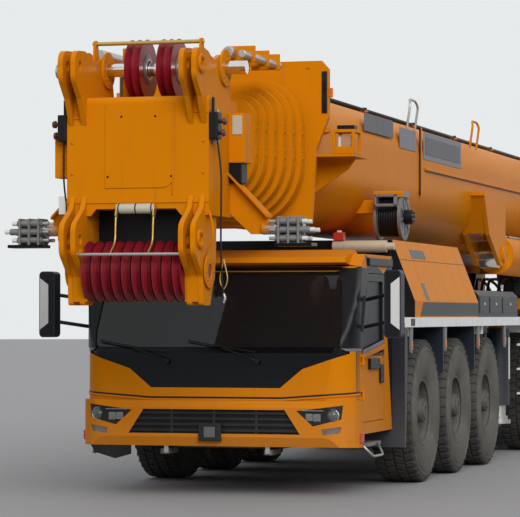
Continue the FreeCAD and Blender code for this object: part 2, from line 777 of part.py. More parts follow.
left_door = door()
PARTS["carrier_cab"] = carrier_cab()
PARTS["cab_glass"] = cab_glass()
PARTS["door_left"] = together(left_door)
PARTS["door_right"] = together([mirrored(solid) for solid in left_door])


def cab_interior():
    """Dashboard, steering wheel and both seats on the cab's floor."""
    floor = NECK_HIGH + SEAT + CAB_WALL + SEAT
    side = CAB_HALF - CAB_WALL - 60
    panel = stations([(-2420, floor), (-2440, 1150), (-2420, 1330, 60), (-2200, 1300, 40),
                      (-2230, 950), (-2270, floor)])
    dash = plate("x", -side, side, panel)
    solids = [dash]
    for x in (-SEAT_X, SEAT_X):
        base = block((x - 170, x + 170), (at(-1690), at(-1300)), (floor, 900))
        cushion = plate("x", x - 250, x + 250,
                        stations([(-1780, 880, 60), (-1780, 1040, 60), (-1300, 1010, 20),
                                  (-1180, 1650, 50), (-1070, 1650, 40), (-1170, 880, 60)]))
        solids.append(join([base, cushion]))
    # The steering wheel is made flat round the Z axis, then tipped back onto its column
    ring = cut(Part.makeCylinder(WHEEL_RING_R, 26), Part.makeCylinder(WHEEL_RING_R - 32, 26))
    spokes = Part.makeBox(2 * WHEEL_RING_R - 40, 50, 16, V(20 - WHEEL_RING_R, -25, 0))
    column = rod("z", 30, (0, 0), -340, 10)
    steering = join([ring, spokes, column])
    steering.Placement = FreeCAD.Placement(V(SEAT_X, at(-2010), 1370),
                                           FreeCAD.Rotation(V(1, 0, 0), -50))
    seat_face = plate("x", -side, side, inset([row[:2] for row in panel], -SEAT))
    return together(solids + [cut(steering, seat_face)])


PARTS["cab_interior"] = cab_interior()


# Bumper with its grille and lamp openings, and the lamps that fill them

BUMPER_FRONT = at(NOSE_Y) - BUMPER_OUT
BUMPER_REAR = at(NOSE_Y) + 310
BUMPER_REACH = (BUMPER_FRONT - 100, BUMPER_REAR - 20)
HEADLAMP = [(CAB_HALF - 535, 812), (CAB_HALF - 95, 866), (CAB_HALF - 110, 735),
            (CAB_HALF - 375, 668)]
FOG_LAMP = [(CAB_HALF - 290, 640), (CAB_HALF - 110, 665), (CAB_HALF - 125, 605),
            (CAB_HALF - 275, 585)]
GRILLE = [(-700, GRILLE_HIGH), (700, GRILLE_HIGH), (850, GRILLE_LOW), (-850, GRILLE_LOW)]
GRILLE_BARS = 4
GRILLE_PITCH = 55


def bumper_form(moved):
    front = BUMPER_FRONT
    side = inset([(BUMPER_REAR, BUMPER_LOW), (front + 40, BUMPER_LOW + 10), (front, 560),
                  (front, 840), (front + 35, BUMPER_HIGH), (BUMPER_REAR, BUMPER_HIGH)], moved)
    half = BUMPER_HALF - moved
    corner = CAB_CORNER - moved
    rear = BUMPER_REAR + 10
    plan = [(-half, rear), (-half, front + moved, corner), (half, front + moved, corner),
            (half, rear)]
    return plate("x", -half, half, side).common(plate("z", 0, 1500, plan))


def lamp_tool(points, moved):
    return both_sides(plate("y", *BUMPER_REACH, inset(points, moved)))


def front_bumper():
    shell = cut(bumper_form(0), bumper_form(BUMPER_WALL))
    shell = cut(shell, [cab_form(-SEAT), plate("y", *BUMPER_REACH, GRILLE)]
                + lamp_tool(HEADLAMP, 0) + lamp_tool(FOG_LAMP, 0))
    slope = 150 / (GRILLE_HIGH - GRILLE_LOW)
    bars = []
    for i in range(GRILLE_BARS):
        z = GRILLE_LOW + 20 + i * GRILLE_PITCH
        half = 862 - (z - GRILLE_LOW) * slope
        bars.append(block((-half, half), (BUMPER_FRONT + 18, BUMPER_FRONT + 34), (z, z + 22)))
    for x in (-420, 0, 420):
        bars.append(block((x - 15, x + 15), (BUMPER_FRONT + 20, BUMPER_FRONT + 38),
                          (GRILLE_LOW - 10, GRILLE_HIGH + 10)))
    return join([shell] + bars)


PARTS["front_bumper"] = front_bumper()


def lamps():
    """Headlamps and fog lamps in the bumper's wall, and rear lamps on the tail guard."""
    layer = cut(bumper_form(6), [bumper_form(BUMPER_WALL), cab_form(-SEAT)])
    solids = []
    for points in (HEADLAMP, FOG_LAMP):
        solids += [layer.common(tool) for tool in lamp_tool(points, SEAT)]
    back = TAIL_Y - GUARD_THICK - SEAT
    rear_lamp = block((GUARD_HALF - 480, GUARD_HALF - 40), (back - 70, back),
                      (GUARD_LOW + 10, GUARD_HIGH - 10))
    return together(solids + both_sides(rear_lamp))


PARTS["lamps"] = lamps()


def mirrors():
    """Housing with two arms to a foot on the cab's side, behind its front corner."""
    housing = plate("y", at(MIRROR_FRONT), at(MIRROR_FRONT + MIRROR_DEPTH),
                    rounded([(MIRROR_INNER, MIRROR_LOW), (MIRROR_OUTER, MIRROR_LOW),
                             (MIRROR_OUTER, MIRROR_HIGH), (MIRROR_INNER, MIRROR_HIGH)], 40))
    wall = CAB_HALF + SEAT
    foot = plate("x", wall, CAB_HALF + 30,
                 stations([(-2305, 1560), (-2225, 1560), (-2115, 1900), (-2195, 1900)]))
    pieces = [housing, foot]
    middle = V((MIRROR_INNER + MIRROR_OUTER) / 2 - 20, at(MIRROR_FRONT + MIRROR_DEPTH / 2), 0)
    for z, station in ((MIRROR_LOW + 100, -2255), (MIRROR_LOW + 360, -2170)):
        start = V(CAB_HALF + 15, at(station), z)
        reach = middle + V(0, 0, z + 60) - start
        pieces.append(Part.makeCylinder(MIRROR_ARM_R, reach.Length, start, reach))
    inside = block((0, wall), (at(-3000), at(-1500)), (1000, 2500))
    return together(both_sides(cut(join(pieces), inside)))


PARTS["mirrors"] = mirrors()


# Engine, its cover and the silencer between the cover and the cab

def engine():
    low = FRAME_HIGH + SEAT
    return join([block((-ENGINE_HALF, ENGINE_HALF), (at(ENGINE_FRONT), at(ENGINE_REAR)),
                       (low, ENGINE_HIGH)),
                 block((120 - ENGINE_HALF, ENGINE_HALF - 120),
                       (at(ENGINE_FRONT + 180), at(ENGINE_REAR - 200)),
                       (ENGINE_HIGH - 30, ENGINE_HIGH + 170))])


def hood_outline(moved):
    low = DECK_TOP + SEAT
    return inset([(-HOOD_HALF, low), (-HOOD_HALF, HOOD_KNEE), (-HOOD_TOP_HALF, HOOD_TOP),
                  (HOOD_TOP_HALF, HOOD_TOP), (HOOD_HALF, HOOD_KNEE), (HOOD_HALF, low)], moved)


HOOD_SEAMS = [HOOD_FRONT + 620 + i * 560 for i in range(5)]


def engine_cover():
    """Open-bottomed cover, with a groove round it where two panels meet."""
    inner_reach = (at(HOOD_FRONT) + HOOD_WALL, at(HOOD_REAR) - HOOD_WALL)
    outer = plate("y", at(HOOD_FRONT), at(HOOD_REAR), hood_outline(0))
    floor = block((HOOD_WALL - HOOD_HALF, HOOD_HALF - HOOD_WALL), inner_reach,
                  (DECK_TOP - 1, DECK_TOP + HOOD_WALL + 2))
    grooves = []
    for station in HOOD_SEAMS:
        band = plate("y", at(station), at(station) + HOOD_SEAM, hood_outline(-5))
        core = plate("y", at(station) - 1, at(station) + HOOD_SEAM + 1, hood_outline(HOOD_SEAM))
        grooves.append(cut(band, core))
    return cut(outer, [plate("y", *inner_reach, hood_outline(HOOD_WALL)), floor] + grooves)


def silencer():
    """Exhaust silencer across the gap behind the cab, on two feet against the cover."""
    y = at(HOOD_FRONT) - 150
    can = rod("x", SILENCER_R, (y, SILENCER_Z), 620, 1180)
    feet = [block((x, x + 50), (y, at(HOOD_FRONT) - SEAT), (SILENCER_Z - 50, SILENCER_Z + 20))
            for x in (700, 1050)]
    outlet = rod("x", 38, (y, SILENCER_Z), 1170, 1260)
    return join([can, outlet] + feet)


PARTS["engine"] = engine()
PARTS["engine_cover"] = engine_cover()
PARTS["air_cleaner"] = silencer()


# Upper structure: ring, platform, cheeks for the boom's pivot, feet of the lift cylinders

OPERATOR_INNER = CHEEK_INNER + CHEEK_THICK + CAB_STAND
OPERATOR_LOW = PLATFORM_HIGH + SEAT
OPERATOR_WALL = 45


def slewed(rows):
    """Side outline rows (distance behind the slewing centre, z[, radius]) as (Y, Z) corners."""
    return [(behind_slew(row[0]), *row[1:]) for row in rows]


def turntable():
    slew = behind_slew(0)
    ring = rod("z", RING_R + 50, (0, slew), RING_JOINT + SEAT, PLATFORM_LOW + 10)
    front, nose = behind_slew(-PLATFORM_FRONT), behind_slew(-PLATFORM_NOSE)
    rear = behind_slew(PLATFORM_REAR)
    plan = [(-PLATFORM_HALF, front), (-PLATFORM_HALF, rear), (PLATFORM_HALF, rear),
            (PLATFORM_HALF, front), (PLATFORM_NOSE_HALF, nose), (-PLATFORM_NOSE_HALF, nose)]
    cheek = plate("x", CHEEK_INNER, CHEEK_INNER + CHEEK_THICK,
                  slewed([(800, PLATFORM_HIGH - 5), (1200, 2500, 300), (2020, 3380, 260),
                          (2300, 3640, 260), (2780, 3560, 260), (2920, 2900, 200),
                          (3560, 2720, 120), (3560, PLATFORM_HIGH - 5)]))
    reach = (CHEEK_INNER - 1, CHEEK_INNER + CHEEK_THICK + 1)
    cheek = cut(cheek, [rod("x", PIVOT_R + PIN_GAP, (at(PIVOT_STATION), PIVOT_Z), *reach),
                        rod("x", WINCH_SHAFT_R + PIN_GAP, (at(WINCH_STATION), WINCH_Z), *reach)])
    lugs = []
    foot_y, foot_top = at(LIFT_FOOT_STATION), LIFT_FOOT_Z + 150
    for x in LUG_X:
        lug = plate("x", x, x + LUG_THICK,
                    [(foot_y - 250, PLATFORM_HIGH - 5), (foot_y - 160, foot_top, 140),
                     (foot_y + 160, foot_top, 140), (foot_y + 250, PLATFORM_HIGH - 5)])
        hole = rod("x", LIFT_PIN_R + PIN_GAP, (foot_y, LIFT_FOOT_Z), x - 1, x + LUG_THICK + 1)
        lugs.append(cut(lug, hole))
    stand = block((PLATFORM_HALF - 1, BODY_HALF - 20), (behind_slew(150), behind_slew(1650)),
                  (PLATFORM_LOW + 30, PLATFORM_HIGH))
    return join([ring, plate("z", PLATFORM_LOW, PLATFORM_HIGH, plan), stand]
                + paired([cheek] + lugs))


PARTS["turntable"] = turntable()


OPERATOR_SIDE = slewed([(60, OPERATOR_LOW), (-20, 2350), (140, 3300), (1600, 3300),
                        (1700, OPERATOR_LOW)])


def operator_form(moved):
    return plate("x", OPERATOR_INNER + moved, BODY_HALF - moved, inset(OPERATOR_SIDE, moved))


def operator_cab():
    """Crane operator's cab with cut windows, their panes and a seat."""
    shell = cut(operator_form(0), operator_form(OPERATOR_WALL))
    middle = (OPERATOR_INNER + BODY_HALF) / 2
    half = (BODY_HALF - OPERATOR_INNER) / 2 - 70
    layer = cut(operator_form(12), operator_form(24))
    side_window = slewed([(180, 2420), (280, 3190), (1450, 3190), (1500, 2420)])
    front_window = [(middle - half, 2300), (middle + half, 2300), (middle + half, 3170),
                    (middle - half, 3170)]
    tools, panes = [], []
    for axis, reach, points in (("x", (BODY_HALF - 100, BODY_HALF + 10), side_window),
                                ("y", (behind_slew(-200), behind_slew(300)), front_window)):
        tools.append(plate(axis, *reach, points))
        panes.append(layer.common(plate(axis, *reach, inset(points, SEAT))))
    seat_floor = OPERATOR_LOW + OPERATOR_WALL + SEAT
    seat = join([block((middle - 170, middle + 170), (behind_slew(850), behind_slew(1300)),
                       (seat_floor, 2400)),
                 block((middle - 200, middle + 200), (behind_slew(750), behind_slew(1350)),
                       (2390, 2500)),
                 block((middle - 200, middle + 200), (behind_slew(1260), behind_slew(1370)),
                       (2490, 3050))])
    return together([cut(shell, tools), seat] + panes)


PARTS["operator_cab"] = operator_cab()


def winch_drum():
    shaft = CHEEK_INNER + CHEEK_THICK
    rim = DRUM_HALF + 30
    half = [(DRUM_HALF, DRUM_R), (DRUM_HALF, FLANGE_R), (rim, FLANGE_R), (rim, WINCH_SHAFT_R),
            (shaft, WINCH_SHAFT_R), (shaft, 0)]
    profile = [(-x, r) for x, r in reversed(half)] + half
    return turned_x(profile, at(WINCH_STATION), WINCH_Z)


PARTS["winch_drum"] = winch_drum()


# Boom: every section is the base profile moved inward, and sits in the lip of the one outside

def boom_outline(moved):
    """Tube profile moved inward, as rounded (X, Z) corners."""
    half, low, high = BOOM_HALF - moved, BOOM_LOW + moved, BOOM_HIGH - moved
    top_r, low_r = BOOM_TOP_R - moved, BOOM_LOW_R - moved
    if moved > 0:
        top_r = max(top_r, 90)
    return [(-half, low, low_r), (half, low, low_r), (half, high, top_r), (-half, high, top_r)]


def tube(y0, y1, outside, inside):
    body = plate("y", y0, y1, boom_outline(outside))
    return cut(body, plate("y", y0 - 1, y1 + 1, boom_outline(inside)))


def section_offset(number):
    return (number - 1) * NEST_STEP


def collar_y(number):
    """Front face of a section's collar: inner sections stand further forward."""
    return at(COLLAR_FRONT) - (number - 2) * COLLAR_PITCH


def section_rear(number):
    return at(FIRST_REAR) - (number - 2) * REAR_STAGGER


def section_body(number, front):
    """Tube with its rear pad ring, reaching back from a collar or the head."""
    outside = section_offset(number)
    rear = section_rear(number)
    shell = tube(front, rear, outside, outside + BOOM_WALL)
    pads = tube(rear - PAD_LENGTH, rear, outside - NEST_STEP + BOOM_WALL + SEAT, outside + 1)
    return [shell, pads]


def boom_section(number):
    outside = section_offset(number)
    front = collar_y(number)
    collar = tube(front, front + COLLAR_LENGTH, outside - COLLAR_PROUD,
                  outside + NEST_STEP - SEAT)
    return join(section_body(number, front + 20) + [collar])


def crown():
    """Wide plate round the base section's front, with its gussets and lamp shelf."""
    front = at(BASE_FRONT)
    half = CROWN_HALF
    ring = plate("y", front, front + CROWN_THICK,
                 [(170 - half, BOOM_LOW), (half - 170, BOOM_LOW), (half - 120, 3300),
                  (half, 3600), (half, 4060), (half - 70, 4140), (70 - half, 4140),
                  (-half, 4060), (-half, 3600), (120 - half, 3300)])
    ring = cut(ring, plate("y", front - 1, front + CROWN_THICK + 1, boom_outline(0)))
    gusset = plate("z", 3460, 3500,
                   [(BOOM_HALF - 5, front + 50), (half - 10, front + 50),
                    (half - 10, front + 120), (BOOM_HALF - 5, front + 620)])
    shelf = plate("x", BOOM_HALF - 20, half + 250,
                  [(front + 5, 3225), (front + 5, 3250), (front + 560, 3250), (front + 560, 3225)])
    rib = plate("y", front + 300, front + 325,
                [(BOOM_HALF - 20, 2860), (BOOM_HALF - 20, 3230), (half + 200, 3230),
                 (half + 120, 3120, 120)])
    inside = plate("y", front - 1, front + 700, boom_outline(BOOM_WALL))
    return [ring] + [cut(piece, inside) for piece in both_sides(gusset) + [shelf, rib]]


def cable_reel():
    """Drum with two flanges and a hub on a bracket from the boom's left side."""
    y = at(REEL_STATION)
    middle = (y, REEL_Z)
    foot = block((BOOM_HALF - 180, REEL_INNER + 5), (y - 120, y + 120), (REEL_Z + 40, REEL_Z + 180))
    guard = plate("x", REEL_INNER - 25, REEL_OUTER + 25,
                  [(y - 150, REEL_Z + REEL_R - 40), (y - 150, REEL_Z + REEL_R + 25, 20),
                   (y + 150, REEL_Z + REEL_R + 25, 20), (y + 150, REEL_Z + REEL_R - 40)])
    return [foot, guard, rod("x", REEL_DRUM_R, middle, REEL_INNER, REEL_OUTER),
            rod("x", REEL_R, middle, REEL_INNER, REEL_INNER + 22),
            rod("x", REEL_R, middle, REEL_OUTER - 22, REEL_OUTER),
            rod("x", 70, middle, REEL_OUTER - 5, REEL_OUTER + 90)]


def lift_consoles():
    """Pairs of plates below the boom, each pair with the lift rod's pin in two stubs."""
    eye_y, eye_z = at(LIFT_HEAD_STATION), LIFT_HEAD_Z
    pieces = []
    for x in LUG_X:
        pieces.append(plate("x", x, x + LUG_THICK,
                            [(eye_y + 190, 3250), (eye_y + 165, eye_z - 150, 140),
                             (eye_y - 150, eye_z - 150, 140), (eye_y - 900, 2720),
                             (eye_y - 1250, 3250)]))
    for low, high in ((LUG_X[0] - 35, LUG_X[0] + 1), (LUG_X[1] + LUG_THICK - 1,
                                                     LUG_X[1] + LUG_THICK + 35)):
        pieces.append(rod("x", LIFT_PIN_R + 25, (eye_y, eye_z), low, high))
    pieces.append(block((BOOM_HALF - 5, LUG_X[1] + LUG_THICK), (eye_y - 1250, eye_y + 190),
                        (3200, 3250)))
    pieces.append(plate("x", LUG_X[0] + LUG_THICK - 5, LUG_X[1] + 5,
                        [(eye_y - 900, 2740), (eye_y - 860, 2740), (eye_y - 1190, 3210),
                         (eye_y - 1230, 3210)]))
    return pieces


def boom_base():
    front = at(BASE_FRONT)
    shell = tube(front, at(BASE_REAR), 0, BOOM_WALL)
    lip = tube(front, front + COLLAR_LENGTH, -40, NEST_STEP - SEAT)
    pivot = (at(PIVOT_STATION), PIVOT_Z)
    boss = rod("x", 210, pivot, BOOM_HALF - 30, CHEEK_INNER - 5)
    pin = rod("x", PIVOT_R, pivot, -CHEEK_INNER - CHEEK_THICK, CHEEK_INNER + CHEEK_THICK)
    inside = plate("y", front, at(BASE_REAR), boom_outline(BOOM_WALL))
    outer = [cut(piece, inside) for piece in paired(lift_consoles() + [boss]) + cable_reel()]
    return join([shell, lip, pin] + crown() + outer)


PARTS["boom_base"] = boom_base()
for number in range(2, SECTIONS):
    PARTS[f"boom_section_{number}"] = boom_section(number)


# Boom head: the innermost section with its head box, sheave cheeks and jib lugs

def ear(x, points, holes):
    piece = plate("x", x - EAR_THICK / 2, x + EAR_THICK / 2, points)
    return cut(piece, [rod("x", r, (y, z), x - EAR_THICK, x + EAR_THICK) for y, z, r in holes])


def head_box():
    """Open-bottomed box with a notched lower edge, a hatch and a seam across its front."""
    front, rear = at(HEAD_FRONT), at(HEAD_REAR)
    inner = HEAD_HALF - HEAD_WALL
    case = plate("x", -HEAD_HALF, HEAD_HALF,
                 [(front, HEAD_LOW), (front, HEAD_HIGH, 60), (rear, HEAD_HIGH),
                  (rear, HEAD_LOW + 60), (rear - 160, HEAD_LOW)])
    hollow = plate("x", -inner, inner,
                   [(front + HEAD_WALL, HEAD_LOW - 1), (front + HEAD_WALL, HEAD_HIGH - HEAD_WALL),
                    (rear - HEAD_WALL, HEAD_HIGH - HEAD_WALL), (rear - HEAD_WALL, HEAD_LOW - 1)])
    notch = plate("y", front - 1, front + HEAD_WALL + 1,
                  [(-430, HEAD_LOW - 1), (-380, HEAD_LOW + 60), (350, HEAD_LOW + 60),
                   (400, HEAD_LOW - 1)])
    hatch = plate("y", front - 8, front + 5,
                  [(-295, 2822), (340, 2822, 120), (340, HEAD_HIGH - 70), (-295, HEAD_HIGH - 70)])
    seam = block((-HEAD_HALF, HEAD_HALF), (front - 8, front + 5), (2690, 2712))
    return [cut(case, [hollow, notch]), hatch, seam]


def rope_guards():
    """Rods in front of the sheaves, and a roller on two brackets below the head's front plate."""
    top = (at(TOP_SHAFT_Y) - 240, TOP_SHAFT_Z + 215)
    low = (at(LOW_SHAFT_Y) - 295, LOW_SHAFT_Z + 145)
    horn_x = TOP_EAR_X[0]
    horn = plate("x", horn_x - 10, horn_x + 10,
                 [(top[0] - 60, 3930), (top[0] - 30, top[1] + 30, 20), (top[0] + 30, top[1] + 30, 20),
                  (top[0] + 80, 3950)])
    face = at(HEAD_FRONT)
    bracket = plate("x", ROLLER_HALF - 5, ROLLER_HALF + 7,
                    [(face + 5, ROLLER_Z + 50), (face - 60, ROLLER_Z + 40, 20),
                     (face - 95, ROLLER_Z - 70, 15), (face - 45, ROLLER_Z - 85, 15),
                     (face + 5, ROLLER_Z + 5)])
    roller = rod("x", ROLLER_R, (face - ROLLER_R + 5, ROLLER_Z), -ROLLER_HALF, ROLLER_HALF)
    return both_sides(horn) + both_sides(bracket) + [
        rod("x", 18, top, -horn_x - 25, horn_x + 25), rod("x", 14, low, -LOW_EAR_X[0], LOW_EAR_X[0]),
        roller]


def wing():
    """Gusset on the head's left side with the coupler that a jib's line plugs into."""
    y = at(WING_STATION)
    root = HEAD_HALF - 5
    web = plate("y", y - 15, y + 15, [(root, 2980), (WING_OUT, 2600), (WING_OUT, 2430, 40),
                                      (root + 200, 2430), (root, 2620)])
    flange = plate("y", y - 90, y + 90, [(root, 2960), (root, 2980), (WING_OUT, 2600),
                                         (WING_OUT, 2575)])
    coupler = rod("x", COUPLER_R, (y, COUPLER_Z), WING_OUT - 60, WING_OUT + 320)
    ring = rod("x", COUPLER_R + 20, (y, COUPLER_Z), WING_OUT + 60, WING_OUT + 100)
    return [web, flange, coupler, ring]


def boom_head():
    front, rear = at(HEAD_FRONT), at(HEAD_REAR)
    outside = section_offset(SECTIONS)
    joint = cut(plate("y", rear - HEAD_WALL - 1, rear + 220, boom_outline(outside - 30)),
                plate("y", rear + 1, rear + 221, boom_outline(outside + BOOM_WALL)))
    pin_y = at(EAR_FRONT) + JIB_PIN_BEHIND
    top_shaft = (at(TOP_SHAFT_Y), TOP_SHAFT_Z, SHAFT_R + PIN_GAP)
    low_shaft = (at(LOW_SHAFT_Y), LOW_SHAFT_Z, SHAFT_R + PIN_GAP)
    upper = stations([(EAR_FRONT, 3760, 110), (EAR_FRONT, 4005, 110), (-4980, 4020, 80),
                      (-4700, 3940), (-4480, 4010, 100), (-4290, 3990, 110),
                      (-4180, HEAD_HIGH - 40), (HEAD_FRONT + 5, HEAD_HIGH - 260), (-5080, 3600)])
    lower = stations([(EAR_FRONT, 2250, 110), (EAR_FRONT, 2490, 110), (HEAD_FRONT - 60, 2640),
                      (HEAD_FRONT + 5, 2760), (-4600, 2760), (-4620, 2200), (-4700, 1990, 120),
                      (-4790, CHEEK_FOOT, 30), (-4990, CHEEK_FOOT, 30), (-5010, 2050, 60)])
    pieces = [joint] + head_box() + rope_guards() + paired(wing())
    for x in TOP_EAR_X:
        pieces += both_sides(ear(x, upper, [top_shaft, (pin_y, JIB_PIN_TOP_Z, JIB_PIN_R)]))
    for x in LOW_EAR_X:
        pieces += both_sides(ear(x, lower, [low_shaft, (pin_y, JIB_PIN_Z, JIB_PIN_R)]))
    return join(pieces + section_body(SECTIONS, rear + 1))


PARTS["boom_head"] = boom_head()


def lower_sheaves():
    """Ten grooved sheaves side by side on one shaft."""
    first = -(LOW_SHEAVES - 1) / 2 * LOW_SHEAVE_PITCH
    half = LOW_SHEAVE_PITCH * 0.42
    end = LOW_EAR_X[1] + 35
    points = [(-end, 0), (-end, SHAFT_R), (first - half, SHAFT_R)]
    for i in range(LOW_SHEAVES):
        x = first + i * LOW_SHEAVE_PITCH
        points += [(x - half, SHEAVE_R), (x, SHEAVE_R - GROOVE_DEPTH), (x + half, SHEAVE_R)]
        if i < LOW_SHEAVES - 1:
            points += [(x + half, SHEAVE_R - 80), (x + LOW_SHEAVE_PITCH - half, SHEAVE_R - 80)]
    points += [(-first + half, SHAFT_R), (end, SHAFT_R), (end, 0)]
    return turned_x(points, at(LOW_SHAFT_Y), LOW_SHAFT_Z)


def upper_sheaves():
    """Two double-grooved sheaves on the shaft across the head's upper ears."""
    centre = (at(TOP_SHAFT_Y), TOP_SHAFT_Z)
    end = TOP_EAR_X[1] + 230
    pieces = [rod("x", SHAFT_R, centre, -end, end)]
    for x in (-TOP_SHEAVE_X, TOP_SHEAVE_X):
        low, high = x - TOP_SHEAVE_HALF, x + TOP_SHEAVE_HALF
        profile = [(low, 0), (low, SHEAVE_R), (x - 40, SHEAVE_R - GROOVE_DEPTH), (x, SHEAVE_R),
                   (x + 40, SHEAVE_R - GROOVE_DEPTH), (high, SHEAVE_R), (high, 0)]
        pieces.append(turned_x(profile, *centre))
    return join(pieces)


PARTS["lower_sheaves"] = lower_sheaves()
PARTS["upper_sheaves"] = upper_sheaves()


# Lift cylinders: made along -Y from the foot and turned up to the head's pin

LIFT_DY = at(LIFT_FOOT_STATION) - at(LIFT_HEAD_STATION)
LIFT_DZ = LIFT_HEAD_Z - LIFT_FOOT_Z
LIFT_LENGTH = sqrt(LIFT_DY ** 2 + LIFT_DZ ** 2)
LIFT_TILT = degrees(atan2(LIFT_DZ, LIFT_DY))
GLAND_Y = 340 - LIFT_LENGTH
FLAT_LENGTH = 620


def lifted(shape):
    """Move a shape made along -Y from the origin onto the left cylinder's foot pin."""
    turn = FreeCAD.Rotation(V(1, 0, 0), -LIFT_TILT)
    shape.Placement = FreeCAD.Placement(V(LIFT_X, at(LIFT_FOOT_STATION), LIFT_FOOT_Z), turn)
    return shape


def lift_cylinder():
    bore = rod("y", LIFT_ROD_R + PIN_GAP, (0, 0), GLAND_Y - 1, -330)
    pin_half = LIFT_EYE_HALF + LUG_THICK
    barrel = join([rod("y", LIFT_R, (0, 0), GLAND_Y, -260),
                   rod("x", LIFT_EYE_R, (0, 0), -LIFT_EYE_HALF, LIFT_EYE_HALF),
                   block((-LIFT_EYE_HALF, LIFT_EYE_HALF), (-280, 0),
                         (-LIFT_NECK_HALF, LIFT_NECK_HALF)),
                   rod("x", LIFT_PIN_R, (0, 0), -pin_half, pin_half)])
    return together(both_sides(lifted(cut(barrel, bore))))


def lift_rod():
    """Rod with flats behind its eye, so that it passes between the boom's console plates."""
    eye_y = -LIFT_LENGTH
    shank = rod("y", LIFT_ROD_R, (0, 0), eye_y + 210, -400)
    flats = [block((low, high), (eye_y, eye_y + FLAT_LENGTH), (-LIFT_R, LIFT_R))
             for low, high in ((-LIFT_R, -LIFT_EYE_HALF), (LIFT_EYE_HALF, LIFT_R))]
    rod_piece = join([cut(shank, flats),
                      rod("x", LIFT_EYE_R - 5, (eye_y, 0), -LIFT_EYE_HALF, LIFT_EYE_HALF),
                      block((-LIFT_EYE_HALF, LIFT_EYE_HALF), (eye_y, eye_y + 300),
                            (-LIFT_NECK_HALF, LIFT_NECK_HALF))])
    return together(both_sides(lifted(rod_piece)))


PARTS["lift_cylinder"] = lift_cylinder()
PARTS["lift_rod"] = lift_rod()

os.makedirs("parts", exist_ok=True)
for name, shape in PARTS.items():
    shape.exportStep(f"parts/{name}.step")
    print(name, len(shape.Solids), "solids, valid" if shape.isValid() else "solids, NOT VALID")
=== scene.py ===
# %% [markdown]
# # Dressing a mobile crane
#
# This notebook gives a finish to an eight-axle mobile crane that stands parked with its boom
# lying over the driver's cab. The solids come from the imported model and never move. Everything
# here is metres, +Z up, with the front facing -Y and the crane's left side at +X.

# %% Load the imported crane
import math

import bmesh
import bpy
from mathutils import Matrix, Vector


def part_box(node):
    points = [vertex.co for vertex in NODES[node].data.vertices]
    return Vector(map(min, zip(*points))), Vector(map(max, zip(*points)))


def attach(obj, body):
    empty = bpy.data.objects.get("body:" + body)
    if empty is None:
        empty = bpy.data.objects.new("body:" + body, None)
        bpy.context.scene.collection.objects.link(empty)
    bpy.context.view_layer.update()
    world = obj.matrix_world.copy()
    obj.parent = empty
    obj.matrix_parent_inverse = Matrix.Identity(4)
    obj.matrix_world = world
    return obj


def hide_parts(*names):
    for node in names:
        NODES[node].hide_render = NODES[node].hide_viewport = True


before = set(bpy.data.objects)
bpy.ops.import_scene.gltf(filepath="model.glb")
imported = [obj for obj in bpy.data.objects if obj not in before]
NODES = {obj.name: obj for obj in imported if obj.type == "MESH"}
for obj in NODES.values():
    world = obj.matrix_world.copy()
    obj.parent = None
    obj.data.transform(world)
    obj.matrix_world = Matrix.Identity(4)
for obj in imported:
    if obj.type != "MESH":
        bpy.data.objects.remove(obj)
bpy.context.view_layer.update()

# %% [markdown]
# ## Places worked out from the solids
#
# A piece that sits on the crane takes its place from the box of what carries it. Written as
# bare numbers, such places would go stale as soon as the crane changed. So the axles come from
# the wheels' boxes, the head from its shafts and the cab from its shell.

# %% Read the places that the pieces hang on
def middle(node):
    low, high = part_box(node)
    return (low + high) / 2


SIDES = {"left": 1, "right": -1}
WHEELS = sorted(name for name in NODES if name.startswith("wheel_"))
AXLE_Y = {int(name.split("_")[1]): middle(name).y for name in WHEELS}
FIRST_AXLE = AXLE_Y[1]
TYRE_R = middle("wheel_1_left").z
TOP_SHAFT = middle("upper_sheaves")
LOW_SHAFT = middle("lower_sheaves")
CAB_LOW, CAB_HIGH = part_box("carrier_cab")
HOOD_LOW, HOOD_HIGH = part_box("engine_cover")
DECK_LOW, DECK_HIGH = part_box("deck")
BASE_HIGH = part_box("boom_base")[1]
CAB_NOSE = CAB_LOW.y
DECK_TOP = HOOD_LOW.z
MIRROR_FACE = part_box("mirrors")[0].y


def at(station):
    """The Y of a place that lies this far behind the first axle."""
    return FIRST_AXLE + station


print("axles at", {n: round(y, 2) for n, y in sorted(AXLE_Y.items())})

# %% [markdown]
# ## The camera
#
# The photograph was taken from far in front with a long lens, so the crane looks flat and tall.
# A wide lens close by could frame the same view, but it would swell the head and shrink the
# wheels. The place, turn and lens below were fitted to the tyres, the cab and the deck.

# %% Place the camera
CAMERA_PLACE = (7.419, -32.167, 1.715)
CAMERA_YAW = 15.8835
CAMERA_PITCH = 1.2073
LENS_MM = 186.14
SENSOR_MM = 36.0

camera_data = bpy.data.cameras.new("photo_camera")
camera_data.lens = LENS_MM
camera_data.sensor_width = SENSOR_MM
camera_data.clip_end = 500
camera = bpy.data.objects.new("photo_camera", camera_data)
camera.location = CAMERA_PLACE
camera.rotation_euler = (math.radians(90 + CAMERA_PITCH), 0, math.radians(CAMERA_YAW))
bpy.context.scene.collection.objects.link(camera)
bpy.context.scene.camera = camera
print("camera at", CAMERA_PLACE, "lens", LENS_MM)

# %% [markdown]
# ## Effects that many finishes share
#
# Paint, steel and rubber on a working crane all wear at their edges, gather road dust low down
# and carry faint streaks from rain. Each effect could be drawn again in every material. As node
# groups they are built once, and every material sets its own strength on the group's inputs.

